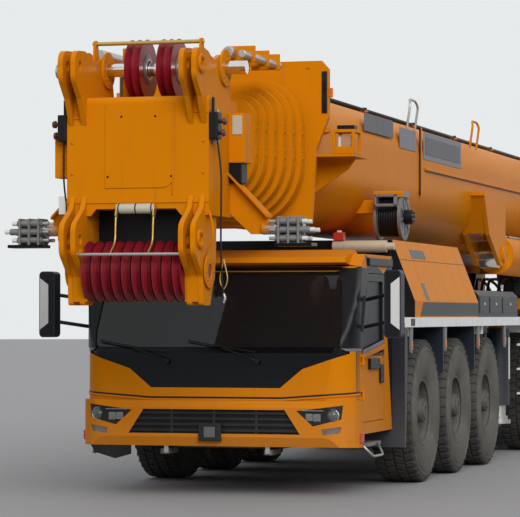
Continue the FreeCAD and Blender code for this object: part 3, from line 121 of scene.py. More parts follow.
# %% A helper that builds a node group
class Group:
    """A shader node group under construction, with short ways to add and join nodes."""

    def __init__(self, name, numbers, outputs, colours=()):
        self.tree = bpy.data.node_groups.new(name, "ShaderNodeTree")
        for key, value in numbers.items():
            socket = self.tree.interface.new_socket(key, in_out="INPUT", socket_type="NodeSocketFloat")
            socket.default_value = value
        for key in colours:
            self.tree.interface.new_socket(key, in_out="INPUT", socket_type="NodeSocketColor")
        for key, kind in outputs.items():
            self.tree.interface.new_socket(key, in_out="OUTPUT", socket_type=f"NodeSocket{kind}")
        self.given = self.tree.nodes.new("NodeGroupInput").outputs
        self.result = self.tree.nodes.new("NodeGroupOutput").inputs

    def add(self, kind, settings=None, **sockets):
        return add_node(self.tree, kind, settings, **sockets)

    def math(self, operation, *values, clamp=False):
        return add_math(self.tree, operation, *values, clamp=clamp)


def feed(tree, socket, value):
    """Join an output to a socket, or write a plain value on it."""
    if isinstance(value, bpy.types.NodeSocket):
        tree.links.new(value, socket)
    else:
        socket.default_value = value


def add_node(tree, kind, settings=None, **sockets):
    node = tree.nodes.new(f"ShaderNode{kind}")
    for key, value in (settings or {}).items():
        setattr(node, key, value)
    for key, value in sockets.items():
        feed(tree, node.inputs[key.replace("_", " ")], value)
    return node


def add_math(tree, operation, *values, clamp=False):
    node = tree.nodes.new("ShaderNodeMath")
    node.operation = operation
    node.use_clamp = clamp
    for socket, value in zip(node.inputs, values):
        feed(tree, socket, value)
    return node.outputs[0]


def add_range(tree, value, low, high, to_low=0.0, to_high=1.0):
    """Stretch a value from one range to another and hold it there."""
    node = tree.nodes.new("ShaderNodeMapRange")
    node.interpolation_type = "SMOOTHSTEP"
    for key, given in (("Value", value), ("From Min", low), ("From Max", high), ("To Min", to_low),
            ("To Max", to_high)):
        feed(tree, node.inputs[key], given)
    return node.outputs["Result"]


def new_material(name):
    material = bpy.data.materials.new(name)
    material.use_nodes = True
    return material, material.node_tree, material.node_tree.nodes["Principled BSDF"].inputs


def place_in(tree, stretch=(1, 1, 1)):
    """The point on the crane at rest, stretched along its axes."""
    coords = add_node(tree, "TexCoord")
    mapping = add_node(tree, "Mapping", None, Vector=coords.outputs["Object"])
    mapping.inputs["Scale"].default_value = stretch
    return mapping.outputs[0]


print("group helper ready")

# %% [markdown]
# ### Worn edges
#
# Paint rubs off first where two faces meet. Vertex colours could mark those edges, but they
# need a dense mesh. The Bevel node looks round a corner instead: where its softened normal
# leaves the face's own normal, an edge is near. Noise breaks the band into chips.

# %% Build the worn-edge group
def worn_edges():
    group = Group("worn_edges", {"Reach": 0.006, "Amount": 0.5, "Chip Scale": 30.0}, {"Mask": "Float"})
    tree = group.tree
    bevel = group.add("Bevel", {"samples": 4}, Radius=group.given["Reach"])
    face = group.add("NewGeometry")
    dot = group.add("VectorMath", {"operation": "DOT_PRODUCT"})
    feed(tree, dot.inputs[0], bevel.outputs[0])
    feed(tree, dot.inputs[1], face.outputs["Normal"])
    turned = add_range(tree, dot.outputs["Value"], 0.995, 0.9)
    chips = group.add("TexNoise", None, Vector=place_in(tree), Scale=group.given["Chip Scale"],
        Detail=4.0, Roughness=0.65)
    broken = add_range(tree, chips.outputs["Fac"], 0.47, 0.6)
    mask = group.math("MULTIPLY", turned, broken)
    feed(tree, group.result["Mask"], group.math("MULTIPLY", mask, group.given["Amount"], clamp=True))
    return tree


WORN_EDGES = worn_edges()
print("group", WORN_EDGES.name, "nodes", len(WORN_EDGES.nodes))

# %% [markdown]
# ### Road dust
#
# Spray from the wheels leaves a grey film that is thick low down and thins out with height, and
# dust also settles on ledges. A painted map would have to be redone for each piece. Here the
# height of the point on the crane sets the film, noise makes it patchy, and faces that look up
# get a little more.

# %% Build the road-dust group
def road_dust():
    group = Group("road_dust",
        {"Thick Below": 0.4, "Gone Above": 2.2, "Amount": 0.6, "On Ledges": 0.3, "Patch Scale": 2.2},
        {"Mask": "Float"})
    tree = group.tree
    coords = group.add("TexCoord")
    height = group.add("SeparateXYZ", None, Vector=coords.outputs["Object"]).outputs["Z"]
    film = add_range(tree, height, group.given["Gone Above"], group.given["Thick Below"])
    up = group.add("SeparateXYZ", None, Vector=coords.outputs["Normal"]).outputs["Z"]
    ledge = group.math("MULTIPLY", add_range(tree, up, 0.5, 0.98), group.given["On Ledges"])
    patches = group.add("TexNoise", None, Vector=coords.outputs["Object"],
        Scale=group.given["Patch Scale"], Detail=7.0, Roughness=0.62)
    patchy = add_range(tree, patches.outputs["Fac"], 0.3, 0.72, 0.35, 1.0)
    total = group.math("ADD", group.math("MULTIPLY", film, group.given["Amount"]), ledge)
    feed(tree, group.result["Mask"], group.math("MULTIPLY", total, patchy, clamp=True))
    return tree


ROAD_DUST = road_dust()
print("group", ROAD_DUST.name, "nodes", len(ROAD_DUST.nodes))

# %% [markdown]
# ### Rain streaks
#
# Rain runs straight down and leaves thin darker lines on upright faces. Noise squeezed along Z
# gives such lines without any image: the pattern changes fast across the face and slowly down
# it. Faces that look up get none.

# %% Build the rain-streak group
def rain_streaks():
    group = Group("rain_streaks", {"Amount": 0.25, "Fineness": 9.0}, {"Mask": "Float"})
    tree = group.tree
    lines = group.add("TexNoise", None, Vector=place_in(tree, (1.0, 1.0, 0.09)),
        Scale=group.given["Fineness"], Detail=6.0, Roughness=0.7)
    thin = add_range(tree, lines.outputs["Fac"], 0.52, 0.74)
    coords = group.add("TexCoord")
    up = group.add("SeparateXYZ", None, Vector=coords.outputs["Normal"]).outputs["Z"]
    upright = add_range(tree, group.math("ABSOLUTE", up), 0.75, 0.3)
    mask = group.math("MULTIPLY", thin, upright)
    feed(tree, group.result["Mask"], group.math("MULTIPLY", mask, group.given["Amount"], clamp=True))
    return tree


RAIN_STREAKS = rain_streaks()
print("group", RAIN_STREAKS.name, "nodes", len(RAIN_STREAKS.nodes))

# %% [markdown]
# ### Surface grain
#
# No surface of the crane is one flat tone. Sprayed paint has faint clouds and an orange-peel
# skin, cast parts have pits, moulded parts have a fine grain. One group gives the clouds as a
# shift of brightness and the skin as a height for a Bump node.

# %% Build the grain group
def surface_grain():
    group = Group("surface_grain", {"Cloud Scale": 0.8, "Cloud Depth": 0.08, "Grain Scale": 260.0},
        {"Colour": "Color", "Height": "Float"}, ["Colour"])
    tree = group.tree
    place = place_in(tree)
    clouds = group.add("TexNoise", None, Vector=place, Scale=group.given["Cloud Scale"], Detail=5.0,
        Roughness=0.6)
    swing = group.math("MULTIPLY_ADD", clouds.outputs["Fac"], 2.0, -1.0)
    value = group.math("MULTIPLY_ADD", swing, group.given["Cloud Depth"], 1.0)
    shade = group.add("HueSaturation", None, Color=group.given["Colour"], Value=value)
    grain = group.add("TexNoise", None, Vector=place, Scale=group.given["Grain Scale"], Detail=2.0)
    feed(tree, group.result["Colour"], shade.outputs[0])
    feed(tree, group.result["Height"], grain.outputs["Fac"])
    return tree


SURFACE_GRAIN = surface_grain()
print("group", SURFACE_GRAIN.name, "nodes", len(SURFACE_GRAIN.nodes))

# %% [markdown]
# ## Light and floor
#
# A pale overcast sky lights the real crane from above, while trees and road darken what lies
# level with it. An even white world would put a pale sheen on every upright face. So the world is
# bright overhead and dim at the horizon, and a wide soft lamp stands for the bright part of the
# sky. The camera sees a plain pale backdrop, and so do metal and glass in what they reflect.

# %% Make the studio
BACKDROP = (0.8, 0.825, 0.83, 1)
SKY_COLOUR = (0.93, 0.96, 1.0, 1)
SKY_RISE = (0.08, 0.5, 0.1, 0.8)  # upward part of a ray from and to, light from and to
LAMP_STRENGTH = 2.25
LAMP_SOFTNESS = 40
LAMP_WAY = (-0.46, 0.83, -0.52)
FLOOR_RADIUS = 160
FLOOR_COLOUR = (0.27, 0.265, 0.27, 1)

scene = bpy.context.scene
scene.view_settings.view_transform = "Standard"


def studio_world():
    world = bpy.data.worlds.new("studio")
    world.use_nodes = True
    tree = world.node_tree
    tree.nodes.clear()
    way = add_node(tree, "TexCoord").outputs["Generated"]
    height = add_node(tree, "SeparateXYZ", None, Vector=way).outputs["Z"]
    light = add_node(tree, "Background", None, Color=SKY_COLOUR,
        Strength=add_range(tree, height, *SKY_RISE))
    seen = add_node(tree, "Background", None, Color=BACKDROP)
    path = add_node(tree, "LightPath").outputs
    shown = path["Is Camera Ray"]
    for kind in ("Is Transmission Ray", "Is Glossy Ray"):
        shown = add_math(tree, "MAXIMUM", shown, path[kind])
    mix = add_node(tree, "MixShader")
    for socket, value in zip(mix.inputs, (shown, light.outputs[0], seen.outputs[0])):
        feed(tree, socket, value)
    feed(tree, add_node(tree, "OutputWorld").inputs[0], mix.outputs[0])
    return world


scene.world = studio_world()
lamp_data = bpy.data.lights.new("bright_sky", "SUN")
lamp_data.energy = LAMP_STRENGTH
lamp_data.angle = math.radians(LAMP_SOFTNESS)
lamp_data.color = (1.0, 0.98, 0.95)
lamp = bpy.data.objects.new("bright_sky", lamp_data)
lamp.rotation_euler = Vector(LAMP_WAY).to_track_quat("-Z", "Y").to_euler()
scene.collection.objects.link(lamp)

floor_mesh = bpy.data.meshes.new("floor")
disc = bmesh.new()
bmesh.ops.create_circle(disc, cap_ends=True, segments=64, radius=FLOOR_RADIUS)
disc.to_mesh(floor_mesh)
disc.free()
floor = bpy.data.objects.new("floor", floor_mesh)
scene.collection.objects.link(floor)
floor_paint, floor_tree, floor_shader = new_material("pale_floor")
feed(floor_tree, floor_shader["Base Color"], FLOOR_COLOUR)
feed(floor_tree, floor_shader["Roughness"], 0.85)
floor_mesh.materials.append(floor_paint)
print("studio ready, floor radius", FLOOR_RADIUS)

# %% [markdown]
# ## Finishes
#
# The same recipe serves paint, plastic, rubber and metal: a grained base colour, then streaks,
# then dust, then wear at the edges, each mixed over the last by its mask. What differs is the
# colours and a handful of strengths, so one function builds them all from a table, and a row ends
# with the few values that differ from the usual. Numbers that are the same all over a surface, such
# as the coat, are set on the shader itself.

# %% Build a finish from its table row
DUST_COLOUR = (0.27, 0.25, 0.22, 1)


def mix_colour(tree, mask, under, over):
    node = tree.nodes.new("ShaderNodeMix")
    node.data_type = "RGBA"
    feed(tree, node.inputs["Factor"], mask)
    feed(tree, node.inputs[6], under)
    feed(tree, node.inputs[7], over)
    return node.outputs[2]


def use_group(tree, group, **values):
    node = tree.nodes.new("ShaderNodeGroup")
    node.node_tree = group
    for key, value in values.items():
        feed(tree, node.inputs[key.replace("_", " ")], value)
    return node


def finish(name, colour, rough, metal, dust, dust_top, ledges, streaks, worn, shine=0.4, coat=0.0,
        glow=(1, 1, 1, 1), clouds=0.08, grain=260.0, bump=0.02, under=(0.12, 0.11, 0.1, 1),
        soil=(0.05, 0.04, 0.03, 1)):
    """A worn, dusty surface of one base colour."""
    material, tree, shader = new_material(name)
    base = use_group(tree, SURFACE_GRAIN, Colour=(*colour, 1), Cloud_Scale=0.8, Cloud_Depth=clouds,
        Grain_Scale=grain)
    streak = use_group(tree, RAIN_STREAKS, Amount=streaks)
    film = use_group(tree, ROAD_DUST, Gone_Above=dust_top, Amount=dust, On_Ledges=ledges)
    chips = use_group(tree, WORN_EDGES, Amount=worn, Reach=0.006)
    tone = base.outputs["Colour"]
    for mask, over in ((streak, soil), (chips, under), (film, DUST_COLOUR)):
        tone = mix_colour(tree, mask.outputs[0], tone, over)
    soft = add_node(tree, "Bevel", {"samples": 4}, Radius=0.003)
    skin = add_node(tree, "Bump", None, Strength=bump, Distance=0.01, Height=base.outputs["Height"],
        Normal=soft.outputs[0])
    dull = add_math(tree, "MULTIPLY_ADD", film.outputs[0], 0.45, rough, clamp=True)
    for key, value in (("Base Color", tone), ("Roughness", dull), ("Metallic", metal),
            ("Specular IOR Level", shine), ("Specular Tint", glow), ("Coat Weight", coat),
            ("Coat Roughness", 0.12), ("Normal", skin.outputs[0])):
        feed(tree, shader[key], value)
    return material


# name, colour, roughness, metal, dust, height where it ends, on ledges, streaks, wear, what differs
FINISH_ROWS = {
    "orange": ("orange_paint", (0.6, 0.192, 0.003), 0.33, 0, 0.12, 1.3, 0.1, 0.16, 0.3,
        {"shine": 0.02, "glow": (1, 0.62, 0.2, 1), "clouds": 0.07}),
    "frame": ("frame_paint", (0.03, 0.032, 0.036), 0.5, 0, 0.55, 2.3, 0.4, 0.2, 0.4),
    "black": ("black_plastic", (0.006, 0.007, 0.009), 0.38, 0, 0.1, 1.4, 0.08, 0.1, 0.1,
        {"shine": 0.2, "grain": 420, "bump": 0.06}),
    "grey": ("grey_trim", (0.035, 0.038, 0.044), 0.5, 0, 0.5, 1.7, 0.25, 0.2, 0.4,
        {"grain": 380, "bump": 0.06}),
    "rubber": ("tyre_rubber", (0.013, 0.013, 0.013), 0.72, 0, 0.2, 9, 0, 0, 0.2,
        {"grain": 90, "bump": 0.25, "clouds": 0.25, "under": (0.09, 0.085, 0.075, 1)}),
    "sidewall": ("tyre_side", (0.03, 0.03, 0.022), 0.75, 0, 0.42, 9, 0, 0.1, 0.2,
        {"grain": 90, "bump": 0.2, "clouds": 0.35, "under": (0.1, 0.1, 0.08, 1)}),
    "alloy": ("deck_alloy", (0.8, 0.805, 0.81), 0.42, 0.15, 0.15, 2.3, 0.2, 0.2, 0.3),
    "steel": ("bare_steel", (0.46, 0.455, 0.44), 0.33, 0.85, 0.3, 1.6, 0.25, 0.3, 0.2),
    "chrome": ("chrome_rod", (0.78, 0.78, 0.77), 0.12, 1, 0.1, 2.3, 0.06, 0.08, 0,
        {"clouds": 0.03, "bump": 0.004}),
    "red": ("sheave_red", (0.19, 0.006, 0.014), 0.36, 0, 0.05, 2.3, 0.05, 0.2, 0.35,
        {"coat": 0.1, "shine": 0.3, "clouds": 0.25, "under": (0.03, 0.02, 0.02, 1)}),
    "hub": ("hub_paint", (0.028, 0.026, 0.024), 0.55, 0, 0.3, 9, 0.1, 0.2, 0.5,
        {"clouds": 0.3, "under": (0.16, 0.08, 0.04, 1)}),
    "interior": ("cab_interior", (0.03, 0.03, 0.033), 0.65, 0, 0.1, 2.3, 0.25, 0.2, 0),
    "navy": ("navy_plastic", (0.011, 0.014, 0.025), 0.42, 0, 0.16, 1.5, 0.1, 0.2, 0.1, {"shine": 0.3}),
    "white": ("white_paint", (0.62, 0.63, 0.62), 0.45, 0, 0.3, 2.3, 0.25, 0.25, 0.1),
    "pale": ("pale_box", (0.5, 0.47, 0.36), 0.45, 0, 0.3, 9, 0.25, 0.3, 0.2),
    "cream": ("cream_can", (0.56, 0.47, 0.33), 0.42, 0.2, 0.3, 4, 0.25, 0.45, 0.4,
        {"soil": (0.16, 0.09, 0.04, 1)}),
    "gold": ("zinc_gold", (0.55, 0.36, 0.1), 0.35, 0.75, 0.1, 2.3, 0.25, 0.2, 0.2),
    "zinc": ("zinc_grey", (0.2, 0.2, 0.2), 0.45, 0.5, 0.3, 4, 0.25, 0.2, 0.4),
    "plate": ("bare_plate", (0.115, 0.115, 0.125), 0.55, 0, 0.25, 4, 0.25, 0.3, 0.05),
    "trim": ("lilac_trim", (0.16, 0.15, 0.175), 0.45, 0, 0.25, 2.3, 0.25, 0.2, 0.05),
    "mask": ("mask_black", (0.003, 0.004, 0.006), 0.18, 0, 0.08, 1.3, 0.05, 0.05, 0,
        {"shine": 0.14, "clouds": 0.03}),
    "glassy": ("dark_strip", (0.006, 0.006, 0.007), 0.12, 0, 0.05, 2.3, 0.25, 0.2, 0, {"coat": 0.5}),
    "knob": ("red_knob", (0.11, 0.012, 0.012), 0.35, 0, 0.1, 2.3, 0.25, 0.2, 0.1, {"coat": 0.3}),
    "signal": ("signal_red", (0.55, 0.03, 0.015), 0.35, 0, 0.15, 2.3, 0.25, 0.2, 0.2, {"coat": 0.3}),
    "rope": ("steel_rope", (0.22, 0.215, 0.2), 0.45, 0.6, 0.2, 4, 0.25, 0.2, 0,
        {"grain": 500, "bump": 0.3}),
    "galvanised": ("galvanised_box", (0.42, 0.4, 0.33), 0.5, 0.3, 0.4, 4, 0.25, 0.4, 0.4,
        {"soil": (0.14, 0.08, 0.03, 1)})}
FINISHES = {key: finish(*row[:9], **dict(*row[9:])) for key, row in FINISH_ROWS.items()}
print("finishes:", ", ".join(FINISHES))

# %% [markdown]
# ### Glass and lamps
#
# The cab's panes are tinted almost black, and the lamps sit behind clear covers. Both are real
# glass here, with plain transmission, because a painted black sheet would look dead from the
# side. Lenses are a deep colour that still lets light in.

# %% Build the glass and lens finishes
def clear_finish(name, colour, through, rough=0.02):
    material, tree, shader = new_material(name)
    film = use_group(tree, ROAD_DUST, Gone_Above=2.2, Amount=0.1, On_Ledges=0.05)
    dull = add_math(tree, "MULTIPLY_ADD", film.outputs[0], 0.5, rough)
    for key, value in (("Base Color", mix_colour(tree, film.outputs[0], (*colour, 1), DUST_COLOUR)),
            ("Roughness", dull), ("Transmission Weight", through), ("IOR", 1.45)):
        feed(tree, shader[key], value)
    return material


FINISHES["glass"] = clear_finish("cab_glass", (0.03, 0.04, 0.045), 0.8)
FINISHES["lens"] = clear_finish("lamp_lens", (0.82, 0.86, 0.88), 0.9)
FINISHES["red_lens"] = clear_finish("red_lens", (0.55, 0.02, 0.015), 0.35, 0.12)
FINISHES["amber_lens"] = clear_finish("amber_lens", (0.85, 0.16, 0.01), 0.3, 0.12)
print("finishes in all:", len(FINISHES))

# %% [markdown]
# ## Dressing the solids
#
# Most nodes keep their solid and only need their finish. One node can carry two finishes when
# its faces are sorted by where they lie: only the material index of a face changes, and its
# corners stay where they are.

# %% Give every solid its finish
NODE_FINISH = {
    "chassis_frame": "frame", "axle_beams": "frame", "carrier_cab": "orange", "cab_glass": "glass",
    "cab_interior": "interior", "front_bumper": "orange", "lamps": "black", "mirrors": "navy",
    "engine_cover": "orange", "engine": "steel", "air_cleaner": "cream", "deck": "alloy",
    "mudguards": "navy", "turntable": "orange", "operator_cab": "orange", "winch_drum": "steel",
    "boom_base": "orange", "boom_head": "orange", "upper_sheaves": "red", "lower_sheaves": "red",
    "lift_cylinder": "orange", "lift_rod": "chrome"}
PREFIX_FINISH = {
    "wheel_": "rubber", "knuckle_": "frame", "door_": "orange", "boom_section_": "orange",
    "outrigger_beam_": "navy", "outrigger_jack_": "steel"}


def node_finish(name):
    if name in NODE_FINISH:
        return NODE_FINISH[name]
    return next(key for start, key in PREFIX_FINISH.items() if name.startswith(start))


for name, solid in NODES.items():
    solid.data.materials.clear()
    solid.data.materials.append(FINISHES[node_finish(name)])


def zone(node, key, inside):
    """Give another finish to the faces of a node that pass a test of centre and normal."""
    mesh = NODES[node].data
    index = mesh.materials.find(FINISHES[key].name)
    if index < 0:
        mesh.materials.append(FINISHES[key])
        index = len(mesh.materials) - 1
    count = 0
    for face in mesh.polygons:
        if inside(face.center, face.normal):
            face.material_index = index
            count += 1
    return count


print("dressed", len(NODES), "nodes")

# %% Sort the faces that have a second finish
def near_line(centre, y, z, radius):
    return math.hypot(centre.y - y, centre.z - z) < radius


shaft_faces = zone("upper_sheaves", "chrome", lambda c, n: near_line(c, TOP_SHAFT.y, TOP_SHAFT.z, 0.075))
print("shaft faces:", shaft_faces)

# %% [markdown]
# ## Shapes made in code
#
# Small fittings are prisms, bars and turned parts with softened edges. They could be separate
# objects, but hundreds of objects are slow to draw and to export. A `Kit` gathers the fittings
# of one region in one mesh for each finish, and hands over finished pieces that ride on a body.

def as_mesh(name, shape):
    """Write a shape down as a mesh, which uses it up."""
    mesh = bpy.data.meshes.new(name)
    shape.to_mesh(mesh)
    shape.free()
    return mesh


def join(target, shape):
    """Add one shape to another."""
    mesh = as_mesh("part", shape)
    target.from_mesh(mesh)
    bpy.data.meshes.remove(mesh)


class Kit:
    """Shapes of one region, gathered by finish, that ride on one body."""

    def __init__(self, region, body):
        self.region = region
        self.body = body
        self.shapes = {}

    def take(self, key, shape, mirror=False):
        """Add a finished bmesh, and its mirror image across the crane if asked."""
        target = self.shapes.setdefault(key, bmesh.new())
        mesh = as_mesh("part", shape)
        target.from_mesh(mesh)
        if mirror:
            mesh.transform(Matrix.Scale(-1, 4, (1, 0, 0)))
            mesh.flip_normals()
            target.from_mesh(mesh)
        bpy.data.meshes.remove(mesh)

    def done(self):
        """Turn every gathered finish into a piece."""
        made = []
        for key, shape in self.shapes.items():
            mesh = as_mesh(f"{self.region}_{key}", shape)
            mesh.materials.append(FINISHES[key])
            piece = bpy.data.objects.new(mesh.name, mesh)
            scene.collection.objects.link(piece)
            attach(piece, self.body)
            made.append(piece)
        print(self.region, {p.name: len(p.data.polygons) for p in made})


def soften(shape, width, segments=2):
    """Round every sharp edge of a small shape."""
    if width > 0:
        sharp = [e for e in shape.edges if e.is_manifold and e.calc_face_angle(0) > 0.5]
        bmesh.ops.bevel(shape, geom=sharp, offset=width, segments=segments, profile=0.7, affect="EDGES",
            clamp_overlap=True)
    return shape


def outward_pair(sign, *ends):
    """Low and high X of a piece on one side of the crane."""
    return tuple(sorted(sign * end for end in ends))


def box(x, y, z, edge=0.004):
    """Block between the (low, high) pairs on each axis."""
    shape = bmesh.new()
    bmesh.ops.create_cube(shape, size=1)
    for vert in shape.verts:
        vert.co = Vector([low + (high - low) * (c + 0.5) for c, (low, high) in zip(vert.co, (x, y, z))])
    return soften(shape, edge)


def rounded_line(points, steps=5):
    """Corners (u, v) or (u, v, radius) as points, with each radius drawn as an arc."""
    drawn = []
    count = len(points)
    for i, point in enumerate(points):
        here = Vector(point[:2])
        radius = point[2] if len(point) > 2 else 0
        if radius <= 0:
            drawn.append(here)
            continue
        back = (Vector(points[i - 1][:2]) - here).normalized()
        on = (Vector(points[(i + 1) % count][:2]) - here).normalized()
        half = back.angle(on) / 2
        middle_way = (back + on).normalized()
        centre = here + middle_way * (radius / math.sin(half))
        start = here + back * (radius / math.tan(half)) - centre
        end = here + on * (radius / math.tan(half)) - centre
        sweep = start.angle_signed(end)
        for k in range(steps + 1):
            angle = -sweep * k / steps
            cos_a, sin_a = math.cos(angle), math.sin(angle)
            drawn.append(centre + Vector((start.x * cos_a - start.y * sin_a,
                start.x * sin_a + start.y * cos_a)))
    return drawn


AXIS_ORDER = {
    "x": lambda u, v, w: (w, u, v), "y": lambda u, v, w: (u, w, v), "z": lambda u, v, w: (u, v, w)}


def prism(axis, low, high, points, edge=0.003, segments=2):
    """Plate between two planes across an axis, from its rounded outline."""
    shape = bmesh.new()
    order = AXIS_ORDER[axis]
    verts = [shape.verts.new(order(p.x, p.y, low)) for p in rounded_line(points)]
    face = shape.faces.new(verts)
    top = bmesh.ops.extrude_face_region(shape, geom=[face])
    shift = Vector(order(0, 0, high - low))
    bmesh.ops.translate(shape, verts=[v for v in top["geom"] if isinstance(v, bmesh.types.BMVert)],
        vec=shift)
    bmesh.ops.recalc_face_normals(shape, faces=shape.faces)
    return soften(shape, edge, segments)


def circle(count, radius, phase=0.0):
    """Places round a circle, as pairs."""
    turns = [2 * math.pi * (k + phase) / count for k in range(count)]
    return [(radius * math.cos(turn), radius * math.sin(turn)) for turn in turns]


def bridge(shape, rings, steps):
    """Join each ring of corners to the next, where a ring may be one point."""
    for first, second in zip(rings, rings[1:]):
        for k in range(steps):
            corners = [ring[i % steps % len(ring)]
                for ring, i in ((first, k), (first, k + 1), (second, k + 1), (second, k))]
            unique = list(dict.fromkeys(corners))
            if len(unique) > 2:
                shape.faces.new(unique)


def shade(shape):
    """Make faces smooth, but keep the edges between them sharp where they turn a lot."""
    for face in shape.faces:
        face.smooth = True
    for edge in shape.edges:
        edge.smooth = not (edge.is_manifold and edge.calc_face_angle(0) > 0.6)
    return shape


def turned(axis, centre, profile, steps=32):
    """Turned part about a line along an axis, from (place on the axis, radius) corners."""
    def order(along, p, q):
        return [c + v for c, v in zip(centre, AXIS_ORDER[axis](p, q, along))]

    shape = bmesh.new()
    rings = []
    for along, radius in profile:
        if radius < 1e-6:
            rings.append([shape.verts.new(order(along, 0, 0))])
            continue
        rings.append([shape.verts.new(order(along, p, q)) for p, q in circle(steps, radius)])
    bridge(shape, rings, steps)
    bmesh.ops.recalc_face_normals(shape, faces=shape.faces)
    return shade(shape)


def bar(start, end, radius, sides=16):
    """Round bar between two points, with chamfered ends."""
    start, end = Vector(start), Vector(end)
    length = (end - start).length
    c = radius * 0.15
    shape = turned("z", (0, 0, 0),
        [(0, 0), (0, radius - c), (c, radius), (length - c, radius), (length, radius - c), (length, 0)],
        sides)
    turn = (end - start).to_track_quat("Z", "Y").to_matrix().to_4x4()
    bmesh.ops.transform(shape, matrix=Matrix.Translation(start) @ turn, verts=shape.verts)
    return shape


def pipe(points, radius, bend=0.05, sides=12):
    """Tube along straight runs joined by arcs, for handrails, hard lines and clipped hoses."""
    points = [Vector(p) for p in points]
    path = [points[0]]
    for before, here, after in zip(points, points[1:], points[2:]):
        back, on = (before - here), (after - here)
        reach = min(bend, back.length * 0.45, on.length * 0.45)
        start, end = here + back.normalized() * reach, here + on.normalized() * reach
        for k in range(6):
            t = k / 5
            path.append(start * (1 - t) ** 2 + here * 2 * t * (1 - t) + end * t ** 2)
    path.append(points[-1])
    shape = bmesh.new()
    rings = []
    side = None
    for i, here in enumerate(path):
        along = (path[min(i + 1, len(path) - 1)] - path[max(i - 1, 0)]).normalized()
        side = along.orthogonal().normalized() if side is None else (
            side - along * side.dot(along)).normalized()
        up = along.cross(side)
        rings.append([shape.verts.new(here + side * p + up * q) for p, q in circle(sides, radius)])
    bridge(shape, rings, sides)
    for face in shape.faces:
        face.smooth = True
    shape.faces.new(rings[0])
    shape.faces.new(rings[-1])
    bmesh.ops.recalc_face_normals(shape, faces=shape.faces)
    return shape


def bolt(axis, place, radius=0.012, tall=0.01):
    """Hexagon head on its washer, standing out along the axis or against it if tall is negative."""
    sign = 1 if tall > 0 else -1
    washer = turned(axis, place, [(0, radius * 1.45), (sign * 0.003, radius * 1.45), (sign * 0.003, 0)],
        12)
    head = turned(axis, place, [(0, radius), (tall * 0.85, radius), (tall, radius * 0.86), (tall, 0)], 6)
    for face in head.faces:
        face.smooth = False
    join(washer, head)
    return washer


print("shape helpers ready")

# %% [markdown]
# ## Wheels
#
# A crane tyre has deep blocks round its crown, ribs on its shoulder and a dished rim with a
# planet hub. A plain turned solid would miss the blocks, and bump alone would leave the outline
# round. So the carcass is turned from one profile, the blocks are set round it by a loop, and
# sixteen wheels share the one mesh.

# %% Turn the tyre's carcass
TREAD_HALF = 0.195
TYRE_HALF = (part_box("wheel_1_left")[1].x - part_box("wheel_1_left")[0].x) / 2
RIM_R = 0.318
GROOVE_R = TYRE_R - 0.024
TYRE_PROFILE = [  # place across the tyre, radius
    (0.172, 0.32), (0.184, 0.338), (0.196, 0.372), (0.211, 0.43), (0.2215, 0.5),
    (0.2225, 0.545), (0.219, 0.6), (0.211, 0.65), (0.2045, 0.69), (0.196, 0.704),
    (0.175, GROOVE_R), (0.09, GROOVE_R + 0.003), (0.0, GROOVE_R + 0.004)]
SIDE_RIBS = [(0.357, 0.004), (0.405, 0.003), (0.618, 0.004), (0.667, 0.005)]  # radius, height


def tyre_line():
    half = [(x, r) for x, r in TYRE_PROFILE]
    for radius, tall in SIDE_RIBS:
        for k in range(len(half) - 1):
            (x0, r0), (x1, r1) = half[k], half[k + 1]
            if r0 <= radius < r1:
                x = x0 + (x1 - x0) * (radius - r0) / (r1 - r0)
                half[k + 1:k + 1] = [(x, radius - 0.004), (min(x + tall, TYRE_HALF), radius - 0.002),
                    (min(x + tall, TYRE_HALF), radius + 0.002), (x, radius + 0.004)]
                break
    return half + [(-x, r) for x, r in reversed(half[:-1])]


carcass = turned("x", (0, 0, 0), tyre_line(), 96)
print("tyre carcass faces", len(carcass.faces))

# %% Set the tread blocks round the crown
BLOCKS_ROUND = 44
TREAD_ROWS = [  # first and last place across, share of the pitch, turn in pitches, lean
    (-0.194, -0.112, 0.66, 0.0, 0.006), (-0.096, -0.012, 0.74, 0.34, -0.01),
    (0.012, 0.096, 0.74, 0.84, 0.01), (0.112, 0.194, 0.66, 0.5, -0.006)]


def tread_block(low, high, share, start, lean):
    """One block, from the groove's floor to the crown, that leans across the tyre."""
    pitch = 2 * math.pi / BLOCKS_ROUND
    shape = bmesh.new()
    corners = []
    for x, slide in ((low, -lean), (high, lean)):
        edge_drop = 0.008 * (abs(x) / TREAD_HALF) ** 4
        for turn in (start, start + share):
            angle = turn * pitch
            corners.append((x, angle + slide / TYRE_R, TYRE_R - 0.001 - edge_drop))
    for radius_drop in (0.032, 0.0):
        grow = 0.06 * radius_drop
        for x, angle, radius in corners:
            r = radius - radius_drop
            wide = x + math.copysign(grow, x - (low + high) / 2)
            shape.verts.new((wide, r * math.cos(angle), r * math.sin(angle)))
    shape.verts.ensure_lookup_table()
    v = shape.verts
    for ring in ((4, 5, 7, 6), (0, 1, 5, 4), (2, 3, 7, 6), (0, 2, 6, 4), (1, 3, 7, 5)):
        shape.faces.new([v[i] for i in ring])
    bmesh.ops.recalc_face_normals(shape, faces=shape.faces)
    top = [e for e in shape.edges if min(vert.index for vert in e.verts) >= 4]
    bmesh.ops.bevel(shape, geom=top, offset=0.004, segments=1, affect="EDGES")
    return shape


def shoulder_rib(x_side):
    """Rib that runs down the sidewall below each outer block."""
    rib = box((0.196, 0.2095), (-0.017, 0.017), (0.64, 0.712), 0.004)
    bmesh.ops.scale(rib, vec=(x_side, 1, 1), verts=rib.verts)
    bmesh.ops.recalc_face_normals(rib, faces=rib.faces)
    return rib


